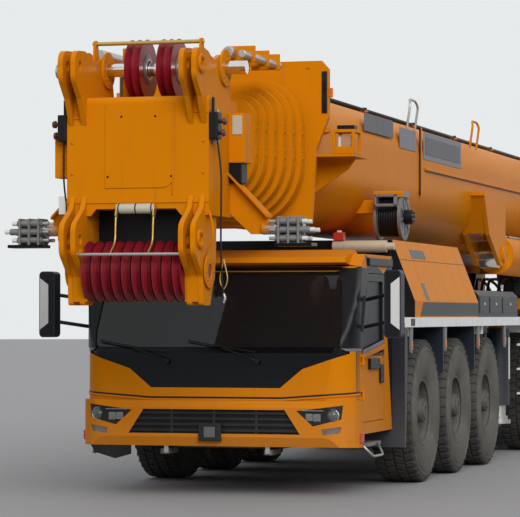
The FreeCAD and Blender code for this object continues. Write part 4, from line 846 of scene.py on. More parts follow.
def tyre_mesh():
    one_on = Matrix.Rotation(2 * math.pi / BLOCKS_ROUND, 4, "X")
    for block in [tread_block(*row) for row in TREAD_ROWS] + [shoulder_rib(1), shoulder_rib(-1)]:
        holder = as_mesh("block", block)
        for k in range(BLOCKS_ROUND):
            holder.transform(one_on)
            carcass.from_mesh(holder)
        bpy.data.meshes.remove(holder)
    mesh = as_mesh("tyre", carcass)
    for key in ("rubber", "sidewall"):
        mesh.materials.append(FINISHES[key])
    for face in mesh.polygons:
        face.material_index = int(math.hypot(face.center.y, face.center.z) < 0.668)
    return mesh


TYRE_MESH = tyre_mesh()
print("tyre faces", len(TYRE_MESH.polygons))

# %% [markdown]
# The rim is a steel dish. Its disc sits deep inside the wheel and carries the studs, and the
# planet hub stands out through it. One turned profile gives the dish, and loops add the hand
# holes, the studs and the hub's cover bolts.

# %% Turn the rim and hub
HUB_OUT = TYRE_HALF - 0.012
DISC_IN = TYRE_HALF - 0.15
STUDS = 10
STUD_CIRCLE = 0.1675
HUB_BOLTS = 12


def rim_mesh():
    shape = turned("x", (0, 0, 0),
        [(0.1735, RIM_R - 0.016), (0.1765, RIM_R + 0.016), (0.17, RIM_R + 0.02), (0.166, RIM_R - 0.002),
        (0.15, RIM_R - 0.012), (0.095, RIM_R - 0.02), (0.07, RIM_R - 0.052),
        (DISC_IN + 0.035, RIM_R - 0.066), (DISC_IN + 0.012, RIM_R - 0.085), (DISC_IN, RIM_R - 0.11),
        (DISC_IN, 0.15), (DISC_IN + 0.02, 0.142), (DISC_IN + 0.03, 0.132), (HUB_OUT - 0.04, 0.124),
        (HUB_OUT - 0.02, 0.118), (HUB_OUT - 0.016, 0.092), (HUB_OUT - 0.002, 0.084), (HUB_OUT, 0.046),
        (HUB_OUT - 0.008, 0.04), (HUB_OUT - 0.008, 0)], 64)
    inner = turned("x", (0, 0, 0),
        [(-0.1735, RIM_R - 0.016), (-0.1765, RIM_R + 0.016), (-0.166, RIM_R - 0.002),
        (-0.15, RIM_R - 0.012), (DISC_IN - 0.03, RIM_R - 0.02), (DISC_IN - 0.03, 0.16), (-0.1, 0.16),
        (-0.1, 0)], 64)
    join(shape, inner)
    for count, ring, x, radius, tall in ((STUDS, STUD_CIRCLE, DISC_IN, 0.016, 0.03),
            (HUB_BOLTS, 0.104, HUB_OUT - 0.018, 0.008, 0.009)):
        for y, z in circle(count, ring, 0.5):
            join(shape, bolt("x", (x, y, z), radius, tall))
    mesh = as_mesh("rim", shape)
    mesh.materials.append(FINISHES["hub"])
    return mesh


RIM_MESH = rim_mesh()
print("rim faces", len(RIM_MESH.polygons))

# %% Set the sixteen wheels on their bodies
for name in WHEELS:
    centre = middle(name)
    outward = 0 if centre.x > 0 else math.pi
    number = int(name.split("_")[1])
    for part, mesh, key in (("tyre", TYRE_MESH, "rubber"), ("rim", RIM_MESH, "hub")):
        piece = bpy.data.objects.new(name.replace("wheel", part), mesh)
        piece.location = centre
        piece.rotation_euler = (0.13 * number, 0, outward)
        scene.collection.objects.link(piece)
        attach(piece, name)
        if part == "tyre":
            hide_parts(name)
print("wheels set:", len(WHEELS))

# %% [markdown]
# ## Fittings from tables
#
# A crane carries hundreds of small fittings, and most are a block, a round bar, a bent pipe or a
# row of bolts. One call for each would hide the sizes among brackets. So each region lists its
# fittings in tables, one row each, and short loops turn the rows into shapes. A table's places
# are measured from its anchor, which comes from the solids.

# %% Loops that read the tables
ORIGIN = (0, 0, 0)


def shifted(anchor, place):
    return tuple(a + v for a, v in zip(anchor, place))


def add_boxes(kit, anchor, rows):
    """Rows of finish, low and high X, Y and Z from the anchor, edge width, mirrored."""
    for key, x0, x1, y0, y1, z0, z1, edge, both in rows:
        low, high = shifted(anchor, (x0, y0, z0)), shifted(anchor, (x1, y1, z1))
        kit.take(key, box(*zip(low, high), edge), both)


def add_bars(kit, anchor, rows):
    """Rows of finish, start and end from the anchor, radius, mirrored."""
    for key, start, end, radius, both in rows:
        kit.take(key, bar(shifted(anchor, start), shifted(anchor, end), radius), both)


def add_pipes(kit, anchor, rows):
    """Rows of finish, points from the anchor, radius, bend, mirrored."""
    for key, points, radius, bend, both in rows:
        kit.take(key, pipe([shifted(anchor, p) for p in points], radius, bend), both)


def add_bolts(kit, key, axis, places, radius=0.012, tall=0.01, both=False):
    for place in places:
        kit.take(key, bolt(axis, place, radius, tall), both)


def add_disc(kit, key, axis, centre, outer, inner, thick, both=False, holes=0):
    """Flat ring, with a circle of bolts on its outer face if asked."""
    ring = [(0, inner), (0, outer - 0.003), (thick * 0.2, outer), (thick * 0.8, outer),
        (thick, outer - 0.003), (thick, inner), (0, inner)]
    kit.take(key, turned(axis, centre, ring), both)
    for spread in circle(holes, (outer + inner) / 2):
        place = shifted(centre, AXIS_ORDER[axis](*spread, thick))
        kit.take(key, bolt(axis, place, 0.009, math.copysign(0.009, thick)), both)


print("table loops ready")

# %% [markdown]
# ## Boom head
#
# The head faces the camera, so it gets the closest look. Its bright shaft runs through bolted
# flanges, a thin rod keeps ropes on the sheaves, and black latches with dark red knobs sit on
# both edges. All of it rides on the eighth boom section, so it moves out with the head.

# %% Fit the head's flanges, latches and cables
head = Kit("head", "boom_8")
HEAD_FACE = TOP_SHAFT.y - 0.54
HEAD_X = 0.65
EAR_OUT = 0.6275
EAR_IN = 0.4675
JIB_Y = TOP_SHAFT.y - 0.71

for x, thick in ((EAR_OUT, 0.022), (EAR_IN, -0.022)):
    add_disc(head, "orange", "x", (x, TOP_SHAFT.y, TOP_SHAFT.z), 0.165, 0.064, thick, True, 8)
    add_disc(head, "orange", "x", (x, LOW_SHAFT.y, LOW_SHAFT.z), 0.15, 0.064, thick * 0.6, True, 8)
for z in (TOP_SHAFT.z - 0.02, LOW_SHAFT.z + 0.275):
    add_disc(head, "orange", "x", (EAR_OUT - (0.01 if z < 3 else 0), JIB_Y, z), 0.085, 0.046, 0.02,
        True, 6)
add_boxes(head, (0, HEAD_FACE, 0), [
    ("black", HEAD_X + 0.004, 0.735, -0.015, 0.11, 3.235, 3.47, 0.012, 1),
    ("black", HEAD_X + 0.02, 0.69, 0.02, 0.05, 3.465, 3.6, 0.005, 1),
    ("steel", HEAD_X, 0.7, 0.1, 0.14, 3.2, 3.5, 0.004, 1),
    ("orange", HEAD_X, 0.8, 0.58, 0.82, 3.06, 3.5, 0.012, 0),
    # Pale plate on the upper front of that box: a plate that is partly a painted highlight for the sheen
    # on this face.
    ("pale", 0.69, 0.78, 0.573, 0.582, 3.31, 3.48, 0.003, 0),
    ("orange", -0.8, -HEAD_X, 0.1, 0.26, 2.92, 3.27, 0.012, 0),
    ("white", -0.745, -0.68, 0.05, 0.06, 2.6, 2.76, 0.003, 0),
    # Black sheet behind the lower sheaves: painted shade for the deep shadow between the cheeks, and
    # also the dark ropes there.
    ("black", -0.6, 0.6, 0.342, 0.365, 2.18, 2.64, 0.004, 0),
    ("black", HEAD_X, 0.77, 0.6, 0.78, 2.88, 3.058, 0.01, 0),
    ("pale", -0.745, -HEAD_X, 0.35, 0.42, 2.79, 2.93, 0.006, 0),
    ("orange", -0.645, -0.52, -0.009, 0, 3.428, 3.446, 0.003, 0),
    ("orange", 0.52, 0.645, -0.009, 0, 3.468, 3.486, 0.003, 0),
    ("orange", 0.318, 0.326, -0.011, 0, 2.76, 3.56, 0.002, 0),
    ("orange", -0.33, -0.235, 0.57, 0.59, 3.61, 4.1, 0.006, 0),
    ("orange", -0.18, -0.105, 0.59, 0.61, 3.61, 4.08, 0.006, 0)])
for z, out in ((3.39, 0.06), (3.29, 0.048)):
    head.take("knob", turned("x", (0.735, HEAD_FACE + 0.045, z),
        [(0, 0), (0, 0.016), (out * 0.4, 0.018), (out * 0.55, 0.034), (out, 0.03), (out + 0.006, 0.016),
        (out + 0.006, 0)], 20), True)
add_bars(head, (0, TOP_SHAFT.y, 0), [
    ("steel", (0.512, -0.61, 3.985), (0.583, -0.61, 3.985), 0.016, 1),
    ("black", (0.512, -0.37, 3.9), (0.583, -0.37, 3.9), 0.012, 1),
    ("steel", (0.6, 0.2, 4.06), (0.6, 1.3, 4.06), 0.052, 0),
    ("steel", (0.76, 0.1, 4.03), (0.76, 1.3, 4.03), 0.036, 0),
    ("steel", (-0.6, 0.2, 4.06), (-0.6, 1.3, 4.06), 0.052, 0)])
for y in (0.34, 0.8, 1.16):
    add_boxes(head, (0, TOP_SHAFT.y, 0), [("orange", 0.54, 0.81, y, y + 0.03, 3.98, 4.125, 0.006, 0)])
add_pipes(head, (0, HEAD_FACE, 0), [
    ("black", [(0.705, 0.07, 3.24), (0.745, 0.06, 2.95), (0.748, 0.03, 2.3), (0.76, 0.03, 1.98),
     (0.775, 0.03, 1.9)], 0.008, 0.1, 0),
    ("black", [(-0.705, 0.07, 3.24), (-0.7, 0.05, 2.9), (-0.67, 0.06, 2.62)], 0.008, 0.1, 0),
    ("gold", [(0.775, 0.03, 2.2), (0.815, 0.03, 2.02), (0.775, 0.03, 1.92), (0.735, 0.03, 2.02),
     (0.775, 0.03, 2.2)], 0.005, 0.07, 0),
    ("steel", [(0.775, 0.03, 1.9), (0.79, 0.03, 1.86), (0.775, 0.03, 1.82)], 0.01, 0.02, 0),
    ("orange", [(0.64, 0.02, 2.63), (0.7, -0.05, 2.5), (0.705, -0.06, 2.36), (0.635, -0.02, 2.26)],
     0.009, 0.05, 1)])
add_pipes(head, (0, HEAD_FACE, 0), [
    ("gold", [(0.171, -0.07, 2.61), (0.171, -0.085, 2.48), (0.171, -0.094, 2.345),
     (0.171, -0.228, LOW_SHAFT.z + 0.152)], 0.009, 0.06, 1)])
add_bolts(head, "black", "y",
    [(-0.145, HEAD_FACE - 0.008, 3.443), (0.165, HEAD_FACE - 0.008, 3.443),
    (-0.27, HEAD_FACE - 0.008, 2.92), (0.31, HEAD_FACE - 0.008, 2.92)], 0.007, -0.006)
EARS = (0.452, 0.569)
head.take("orange", prism("x", EARS[0] - 0.004, EARS[1] + 0.004,
    [(HEAD_FACE - 0.196, 2.285), (HEAD_FACE - 0.196, 2.25), (HEAD_FACE - 0.066, 2.05),
    (HEAD_FACE - 0.046, 1.83), (HEAD_FACE + 0.14, 1.83), (HEAD_FACE - 0.02, 2.08),
    (HEAD_FACE - 0.07, 2.285)], 0.004), True)
SHAFT_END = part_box("upper_sheaves")[0].x
head.take("steel", turned("x", (SHAFT_END - 0.002, TOP_SHAFT.y, TOP_SHAFT.z),
    [(0, 0), (0, 0.058), (-0.1, 0.058), (-0.105, 0.05), (-0.105, 0)], 32))
add_disc(head, "gold", "x", (SHAFT_END - 0.06, TOP_SHAFT.y, TOP_SHAFT.z), 0.075, 0.057, -0.02)
hubs = Kit("sheave_hubs", "top_sheaves")
for x in (-0.218, -0.078, 0.078, 0.218):
    outward = 0.006 if x in (-0.078, 0.218) else -0.006
    add_disc(hubs, "zinc", "x", (x, TOP_SHAFT.y, TOP_SHAFT.z), 0.135, 0.078, outward)
    add_disc(hubs, "steel", "x", (x, TOP_SHAFT.y, TOP_SHAFT.z), 0.098, 0.077, outward * 2)
hubs.done()
COUPLER_Y = TOP_SHAFT.y + 0.11
for row in range(3):
    for column in range(2):
        y, z = COUPLER_Y - 0.075 + column * 0.15, 2.39 + row * 0.075
        end = 1.4 if row == 1 else 1.33
        add_bars(head, (0, y, z), [
            ("zinc", (1.09, 0, 0), (end, 0, 0), 0.03, 1),
            ("steel", (1.03, 0, 0), (1.092, 0, 0), 0.016, 1),
            ("white", (end, 0, 0), (end + 0.05, 0, 0), 0.02, 1)])
for x in (1.11, 1.2, 1.29):
    add_boxes(head, (x, COUPLER_Y, 0), [("zinc", 0, 0.02, -0.12, 0.12, 2.345, 2.585, 0.006, 1)])
add_boxes(head, (0, COUPLER_Y, 0), [("mask", 1.08, 1.42, -0.1, 0.1, 2.32, 2.35, 0.006, 1)])
add_bolts(head, "orange", "y", [(x, HEAD_FACE, z) for x in (-0.6, 0.6) for z in (2.68, 2.95, 3.22)],
    0.011, -0.009)
for x in (-0.15, 0.005, 0.15):
    add_disc(head, "black", "x", (x - 0.006, HEAD_FACE - 0.04, 2.64), 0.0465, 0.0452, 0.012)
head.done()

# %% Colour the head's own rods, roller and couplers
LOW_ROD = (LOW_SHAFT.y - 0.295, LOW_SHAFT.z + 0.145)
TOP_ROD = (TOP_SHAFT.y - 0.24, TOP_SHAFT.z + 0.215)
ROLLER = (HEAD_FACE - 0.04, 2.64)
COUPLER = (COUPLER_Y, 2.48)
LINES = [  # finish, place on Y and Z, radius, from |x|, to |x|
    ("steel", LOW_ROD, 0.017, 0.0, 0.164), ("steel", LOW_ROD, 0.017, 0.178, 0.45),
    ("gold", TOP_ROD, 0.02, 0.0, 0.52), ("pale", ROLLER, 0.047, 0.0, 0.1645),
    ("steel", COUPLER, 0.08, 1.012, 1.4)]


def on_line(line):
    key, (y, z), radius, low, high = line
    return lambda c, n: near_line(c, y, z, radius) and low <= abs(c.x) <= high


for line in LINES:
    print(line[0], zone("boom_head", line[0], on_line(line)))
print("straps", zone("boom_head", "gold",
    lambda c, n: 0.1645 < abs(c.x) < 0.1775 and c.y < HEAD_FACE - 0.03 and c.z < 2.66))

# %% [markdown]
# ## Collars and crown
#
# Each collar is its own body and carries small keeper plates with two bolts, which hold the slide
# pads inside. The crown round the base section's front carries the lamp box, a dark glass strip
# and the shelf, as in the photograph.

# %% Bolt the pad keepers to the collars
for number in range(2, 8):
    low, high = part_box(f"boom_section_{number}")
    collar = Kit(f"collar_{number}", f"boom_{number}")
    for z in (3.18, 3.42):
        add_boxes(collar, (high.x, low.y, z), [("orange", -0.004, 0.005, 0.03, 0.1, 0, 0.11, 0.002, 1)])
        add_bolts(collar, "orange", "x",
            [(high.x + 0.005, low.y + 0.065, z + dz) for dz in (0.025, 0.085)], 0.008, 0.007, True)
    collar.done()

# %% Fit the crown, the boom's side and its rails
CROWN_Y = at(-2.35)
boom = Kit("boom", "boom_1")
add_boxes(boom, (0, CROWN_Y, 0), [
    ("glassy", 0.985, 1.04, -0.012, 0, 3.64, 4.04, 0.006, 1),
    ("amber_lens", 1.05, 1.085, 0.005, 0.05, 3.79, 3.88, 0.008, 1),
    ("orange", 1.08, 1.3, 0.02, 0.3, 3.455, 3.485, 0.004, 0),
    ("orange", 1.08, 1.3, 0.02, 0.3, 3.252, 3.275, 0.004, 0),
    ("orange", 1.08, 1.11, 0.02, 0.05, 3.27, 3.46, 0.004, 0),
    ("orange", 1.27, 1.3, 0.02, 0.05, 3.27, 3.46, 0.004, 0),
    ("orange", 1.08, 1.11, 0.27, 0.3, 3.27, 3.46, 0.004, 0),
    ("orange", 1.27, 1.3, 0.27, 0.3, 3.27, 3.46, 0.004, 0),
    ("orange", 1.11, 1.27, 0.02, 0.04, 3.27, 3.32, 0.003, 0),
    ("lens", 1.13, 1.25, 0.06, 0.2, 3.3, 3.43, 0.015, 0),
    ("black", 1.12, 1.29, 0.05, 0.18, 3.487, 3.525, 0.008, 0)])
add_boxes(boom, ORIGIN, [
    ("plate", 0.8005, 0.8065, -4.95, -3.62, 3.64, 3.83, 0.002, 1),
    ("trim", 0.8005, 0.8045, -3.3, -2.47, 3.56, 3.79, 0.002, 1),
    ("trim", 0.8005, 0.8045, -2.08, 0.06, 3.5, 3.82, 0.002, 1),
    ("plate", 0.8045, 0.8085, -1.98, -0.04, 3.56, 3.76, 0.002, 1),
    ("black", 0.8005, 0.815, -2.3, -2.21, 3.08, 3.85, 0.003, 1),
    ("orange", 0.815, 0.822, -2.275, -2.235, 3.06, 3.85, 0.002, 1),
    ("orange", 0.8005, 0.826, -2.0, 8.2, 3.375, 3.405, 0.006, 1),
    ("black", 0.8005, 0.808, -2.0, 8.2, 3.362, 3.374, 0.002, 1)])
for y in (-2.75, 0.8, 4.6):
    add_pipes(boom, (0, y, 0), [
        ("steel" if y < 0 else "orange",
         [(0.76, 0, 3.8), (0.8, 0, 4.08), (0.78, 0.06, 4.14), (0.78, 0.34, 4.14), (0.8, 0.4, 4.08),
         (0.76, 0.4, 3.8)], 0.014, 0.07, 1)])
for x, radius in ((0.36, 0.022), (0.42, 0.016), (0.47, 0.016), (-0.4, 0.02)):
    add_pipes(boom, (x, 0, 0), [("frame", [(0, CROWN_Y + 0.3, 3.962), (0, 8.6, 3.962)], radius, 0.1, 0)])
for k in range(6):
    y = CROWN_Y + 1.4 + k * 2.4
    add_boxes(boom, (0, y, 0), [
        ("orange", 0.32, 0.51, 0, 0.05, 3.936, 3.955, 0.003, 0),
        ("black", 0.335, 0.495, 0.005, 0.045, 3.955, 3.987, 0.004, 0)])
add_bolts(boom, "steel", "x", [(0.815, -2.255, z) for z in (3.15, 3.8)], 0.012, 0.01, True)
add_bolts(boom, "orange", "y", [(x, CROWN_Y, 4.08) for x in (0.25, 0.55, 0.85)], 0.015, -0.011, True)
boom.done()

# %% [markdown]
# ### The cable reel
#
# The reel on the boom's side feeds the cable to the head. Its flanges are grey pressings with
# ribs, the drum between them is black cable laid in turns, and an orange guard covers the top.

# %% Dress the cable reel
REEL_Y = at(0.45)
REEL_Z = HOOD_HIGH.z + 0.26
REEL_R = 0.245
reel = Kit("reel", "boom_1")
for k in range(9):
    x = 0.912 + k * 0.0255
    add_disc(reel, "black", "x", (x, REEL_Y, REEL_Z), 0.206, 0.188, 0.024)
for x, thick in ((0.88, -0.008), (1.15, 0.008)):
    add_disc(reel, "zinc", "x", (x, REEL_Y, REEL_Z), REEL_R + 0.004, 0.205, thick)
for k in range(8):
    angle = 2 * math.pi * (k + 0.3) / 8
    spoke = box((1.15, 1.16), (0.075, 0.235), (-0.012, 0.012), 0.003)
    bmesh.ops.transform(spoke,
        matrix=Matrix.Translation((0, REEL_Y, REEL_Z)) @ Matrix.Rotation(angle, 4, "X"),
        verts=spoke.verts)
    reel.take("zinc", spoke)
add_disc(reel, "black", "x", (1.15, REEL_Y, REEL_Z), 0.078, 0.02, 0.1, False, 6)
add_boxes(reel, (0, REEL_Y, REEL_Z), [
    ("zinc", 0.9, 1.13, -REEL_R - 0.075, -REEL_R - 0.01, 0.1, 0.13, 0.008, 0),
    ("zinc", 0.9, 1.13, -REEL_R - 0.075, -REEL_R - 0.01, 0.2, 0.23, 0.008, 0),
    ("zinc", 0.9, 0.925, -REEL_R - 0.075, -REEL_R + 0.03, 0.1, 0.23, 0.008, 0),
    ("zinc", 1.105, 1.13, -REEL_R - 0.075, -REEL_R + 0.03, 0.1, 0.23, 0.008, 0)])
reel.done()
print("reel faces", zone("boom_base", "zinc",
    lambda c, n: c.x > 0.87 and near_line(c, REEL_Y, REEL_Z, REEL_R + 0.01)))

# %% [markdown]
# ## Driver's cab
#
# The cab's front is one flat face that leans back above the belt line, with round corners seen
# from above. Trim laid on it as flat boxes would stand off at the corners. So one function gives
# the point at a distance along the skin and a height, and pillars, wipers and seams all use it.

# %% Find points on the cab's skin
CAB_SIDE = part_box("cab_interior")[1].x + 0.12
CORNER = 0.3
BELT = 1.42
LEAN = [(0.58, 0.07), (0.93, 0.0), (1.36, 0.015), (2.18, 0.34), (2.3, 0.49)]  # height, set back


def set_back(z):
    for (low, first), (high, second) in zip(LEAN, LEAN[1:]):
        if z <= high:
            return first + (second - first) * (z - low) / (high - low)
    return LEAN[-1][1]


def on_cab(u, z, proud=0.0):
    """Point at a distance from the middle along the skin, at a height, held off it a little."""
    front = CAB_NOSE + set_back(z)
    centre = (CAB_SIDE - CORNER, CAB_NOSE + CORNER)
    start = math.acos(min(1.0, max(0.0, centre[1] - front) / CORNER))
    flat = centre[0] + CORNER * math.sin(start)
    reach = abs(u)
    if reach <= flat:
        x, y = reach, front - proud
    elif reach <= flat + CORNER * (math.pi / 2 - start):
        turn = start + (reach - flat) / CORNER
        x = centre[0] + (CORNER + proud) * math.sin(turn)
        y = centre[1] - (CORNER + proud) * math.cos(turn)
    else:
        rest = reach - flat - CORNER * (math.pi / 2 - start)
        x, y = CAB_SIDE + proud, max(centre[1], front) + rest
    return Vector((math.copysign(x, u), y, z))


def grid_rim(grid):
    """The corners round the edge of a grid, in order."""
    return grid[0] + [row[-1] for row in grid[1:]] + grid[-1][-2::-1] + [row[0] for row in grid[-2:0:-1]]


def skin_patch(rows, proud, columns=20):
    """Sheet that lies on the cab's skin between rows of height, first and last distance."""
    shape = bmesh.new()
    layers = []
    rows = [Vector(low).lerp(Vector(high), k / 4) for low, high in zip(rows, rows[1:])
        for k in range(4)] + [Vector(rows[-1])]
    for lift in (proud, -0.003):
        grid = []
        for z, first, last in rows:
            grid.append([shape.verts.new(on_cab(first + (last - first) * k / columns, z, lift))
                for k in range(columns + 1)])
        layers.append(grid)
    for grid in layers:
        for lower, upper in zip(grid, grid[1:]):
            for k in range(columns):
                shape.faces.new([lower[k], lower[k + 1], upper[k + 1], upper[k]])
    rim_out, rim_in = (grid_rim(grid) for grid in layers)
    for k in range(len(rim_out)):
        following = (k + 1) % len(rim_out)
        shape.faces.new([rim_out[k], rim_out[following], rim_in[following], rim_in[k]])
    bmesh.ops.recalc_face_normals(shape, faces=shape.faces)
    return shade(shape)


def skin_depth(c):
    """How far a point lies inside the skin of the cab's front and sides."""
    flat = c.y - CAB_NOSE - set_back(c.z)
    across, ahead = abs(c.x) - (CAB_SIDE - CORNER), CAB_NOSE + CORNER - c.y
    if across > 0 and ahead > 0:
        return min(flat, CORNER - math.hypot(across, ahead))
    return min(flat, CAB_SIDE - abs(c.x))


def skin_line(points, proud, radius, steps=10, sides=8):
    """Thin round line on the skin through corners given as (distance, height)."""
    path = []
    for (u0, z0), (u1, z1) in zip(points, points[1:]):
        path += [on_cab(u0 + (u1 - u0) * k / steps, z0 + (z1 - z0) * k / steps, proud)
            for k in range(steps)]
    return pipe(path + [on_cab(*points[-1], proud)], radius, 0.01, sides)


print("belt point", tuple(round(v, 3) for v in on_cab(1.2, BELT)))

# %% [markdown]
# ### Trim, wipers and handles
#
# Dark pillars join the windscreen to the door windows, so the glass seems to run round the
# corner. The mask under it is dark too, and it is a real recess whose faces take that finish.

# %% Dress the cab's front and sides
cab = Kit("cab", "carrier")
PILLAR = [(1.405, 1.215, 1.545), (1.6, 1.225, 1.565), (1.9, 1.192, 1.59), (2.165, 1.168, 1.625)]
SILL = [(1.375, 1.29, 1.552), (1.403, 1.215, 1.552)]
for rows, proud, key in ((PILLAR, 0.012, "black"), (SILL, 0.003, "trim")):
    cab.take(key, skin_patch(rows, proud), True)
cab.take("black", skin_patch([(2.14, -1.168, 1.168), (2.176, -1.166, 1.166)], 0.003, 24))
CREASE = [(-1.5, 0.985), (-1.15, 0.968), (-0.66, 0.932), (0.66, 0.932), (1.15, 0.968), (1.5, 0.985)]
for drop, key, radius in ((0.0, "black", 0.009), (-0.02, "orange", 0.012)):
    cab.take(key, skin_line([(u, z + drop) for u, z in CREASE], -0.002, radius))
for pivot, tip in ((-0.48, -1.17), (0.42, -0.28)):
    add_pipes(cab, ORIGIN, [
        ("black", [on_cab(pivot, 1.275, 0.012), on_cab(pivot - 0.04, 1.3, 0.04),
         on_cab((pivot + tip) / 2, 1.405, 0.04)], 0.009, 0.03, 0),
        ("black", [on_cab(pivot - 0.02, 1.365, 0.026), on_cab((pivot + tip) / 2, 1.415, 0.03),
         on_cab(tip, 1.475, 0.026)], 0.007, 0.1, 0)])
    cab.take("black", turned("y", on_cab(pivot, 1.275, 0.03),
        [(0, 0), (0, 0.022), (0.04, 0.028), (0.04, 0)], 20))
add_boxes(cab, (CAB_SIDE, 0, 0), [("black", -0.01, 0.02, at(-2.0), at(-1.02), 2.19, 2.268, 0.01, 1)])
add_boxes(cab, (0, CAB_NOSE, 0), [
    ("black", -0.14, 0.08, -0.085, -0.03, 0.52, 0.69, 0.01, 0),
    ("frame", -0.085, 0.025, -0.095, -0.083, 0.555, 0.655, 0.006, 0),
    ("signal", 1.372, 1.392, 0.19, 0.29, 0.51, 0.6, 0.003, 1)])
add_boxes(cab, (0, MIRROR_FACE, 0), [("black", 1.655, 1.785, -0.003, 0.01, 1.515, 2.125, 0.002, 1)])
cab.take("mask", prism("y", CAB_NOSE - 0.01, CAB_NOSE + 0.01,
    [(-1.25, 0.475), (-0.84, 0.475), (-0.84, 0.385), (-1.0, 0.34), (-1.21, 0.4)], 0.006))
cab.take("mask", prism("y", CAB_NOSE - 0.014, CAB_NOSE - 0.003,
    [(-0.712, 0.832), (0.712, 0.832), (0.866, 0.578), (-0.866, 0.578)], 0.001))
TOW_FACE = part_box("chassis_frame")[0].y
add_pipes(cab, ORIGIN, [
    ("steel", [(1.34, -7.22, 0.47), (1.42, -7.12, 0.365), (1.42, -6.72, 0.365), (1.34, -6.62, 0.47)],
     0.012, 0.05, 1)])
for x in (-0.49, 0.515):
    add_boxes(cab, (x, TOW_FACE, 0), [("steel", -0.022, 0.022, -0.01, -0.002, 0.4, 0.48, 0.003, 0)])
cab.take("white", prism("y", MIRROR_FACE - 0.007, MIRROR_FACE - 0.002,
    [(1.705, 1.64), (1.79, 1.575), (1.79, 2.075), (1.705, 2.01)], 0.001), True)
cab.done()

# %% Frame the door windows
for side, sign in SIDES.items():
    door_kit = Kit(f"door_trim_{side}", f"door_{side}")
    x_pair = outward_pair(sign, CAB_SIDE - 0.001, CAB_SIDE + 0.003)
    for points in ([(-2.262, 1.402), (-2.212, 1.402), (-1.985, 2.042), (-1.338, 2.042), (-1.338, 2.113),
            (-2.004, 2.113)], [(-1.402, 1.33), (-1.338, 1.33), (-1.338, 2.04), (-1.402, 2.04)],
            [(-2.212, 1.322), (-1.405, 1.322), (-1.405, 1.334), (-2.212, 1.334)]):
        door_kit.take("black", prism("x", *x_pair, [(at(s), z) for s, z in points], 0.0008, 1))
    door_kit.take("trim", prism("x", *outward_pair(sign, CAB_SIDE - 0.001, CAB_SIDE + 0.006),
        [(at(-2.2), 1.345), (at(-1.36), 1.435), (at(-1.36), 1.475), (at(-2.2), 1.385)], 0.002))
    door_kit.take("orange", prism("x", *outward_pair(sign, CAB_SIDE - 0.001, CAB_SIDE + 0.014),
        [(at(-2.22), 1.3), (at(-1.36), 1.385), (at(-1.36), 1.432), (at(-2.22), 1.342)], 0.005))
    for y_pair, z_pair, out in (((at(-2.0), at(-1.6)), (1.195, 1.3), 0.03),
            ((at(-1.545), at(-1.405)), (1.055, 1.235), 0.022)):
        x_pair = outward_pair(sign, CAB_SIDE - 0.001, CAB_SIDE + out)
        door_kit.take("black", box(x_pair, y_pair, z_pair, 0.01))
    door_kit.done()

# %% Sort the faces of the cab, doors and bumper
PANE_X = (CAB_SIDE - 0.0335, CAB_SIDE - 0.0205)
for side in SIDES:
    panes = zone(f"door_{side}", "glass",
        lambda c, n: PANE_X[0] < abs(c.x) < PANE_X[1] and abs(n.x) > 0.9)
mask_faces = zone("carrier_cab", "mask",
    lambda c, n: 1.01 < c.z < BELT + 0.01 and c.y < CAB_NOSE + 0.3 and 0.004 < skin_depth(c) < 0.022
    and abs(c.x) < 1.32)
rim_faces = zone("carrier_cab", "black",
    lambda c, n: 1.385 < c.z < 2.19 and (abs(c.x) > 1.05 or abs(n.y) < 0.85) and c.y < CAB_HIGH.y - 0.02)
for side in SIDES:
    zone(f"door_{side}", "black", lambda c, n: c.z > 1.345 and abs(c.x) > CAB_SIDE - 0.06)
inner_faces = zone("carrier_cab", "interior",
    lambda c, n: skin_depth(c) > 0.055 and 0.6 < c.z < 2.245 and c.y < CAB_HIGH.y - 0.05)
step_faces = zone("carrier_cab", "zinc", lambda c, n: c.z < 0.52)
zone("engine_cover", "black", lambda c, n: n.y < -0.8 and c.y < HOOD_LOW.y + 0.1)
grille_faces = zone("front_bumper", "black",
    lambda c, n: c.y > CAB_NOSE - 0.04 and abs(c.x) < 0.865 and 0.575 < c.z < 0.835)
zone("lamps", "lens", lambda c, n: c.z < 0.67 and c.y < 0)
zone("lamps", "red_lens", lambda c, n: c.y > 0)
print("rims", rim_faces, "inside", inner_faces, "panes", panes, "mask", mask_faces, "step", step_faces,
    "grille", grille_faces)

# %% [markdown]
# ### Lamps
#
# Each headlamp is a dark housing with a round projector outboard and a square reflector beside
# it. They are seated on the housing's curved front, which follows the bumper's corner.

# %% Set the lamps in their housings
lamps = Kit("lamp", "carrier")
BUMPER_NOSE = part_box("front_bumper")[0].y


def on_bumper(x):
    """The Y of the bumper's face at a distance from the middle."""
    past = max(0.0, abs(x) - (CAB_SIDE + 0.025 - CORNER))
    return BUMPER_NOSE + CORNER - math.sqrt(max(0.0, CORNER ** 2 - past ** 2))


LAMP_PLACE = (1.16, on_bumper(1.16) + 0.008, 0.772)
LAMP_R = 0.062
REFLECTOR_BOWL = [(0.03, 0), (0.03, LAMP_R * 0.72), (0.0, LAMP_R * 0.86), (-0.008, LAMP_R),
    (0.0, LAMP_R * 1.08), (0.03, LAMP_R * 1.08), (0.03, 0)]
LAMP_COVER = [(0.0, LAMP_R * 0.86), (-0.016, LAMP_R * 0.62), (-0.024, LAMP_R * 0.3), (-0.026, 0),
    (0.012, 0), (0.012, LAMP_R * 0.86), (0.0, LAMP_R * 0.86)]
for key, profile in (("chrome", REFLECTOR_BOWL), ("lens", LAMP_COVER)):
    lamps.take(key, turned("y", LAMP_PLACE, profile, 40), True)
REFLECTOR_Y = on_bumper(0.98)
add_boxes(lamps, (0, REFLECTOR_Y, 0), [
    ("zinc", 0.905, 0.972, 0.002, 0.02, 0.722, 0.788, 0.006, 1),
    ("zinc", 0.984, 1.051, 0.002, 0.02, 0.714, 0.786, 0.006, 1),
    ("lens", 0.912, 1.046, -0.001, 0.005, 0.72, 0.78, 0.002, 1),
    ("zinc", 0.86, 1.08, -0.001, 0.01, 0.812, 0.822, 0.002, 1)])
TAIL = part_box("lamps")[1].y
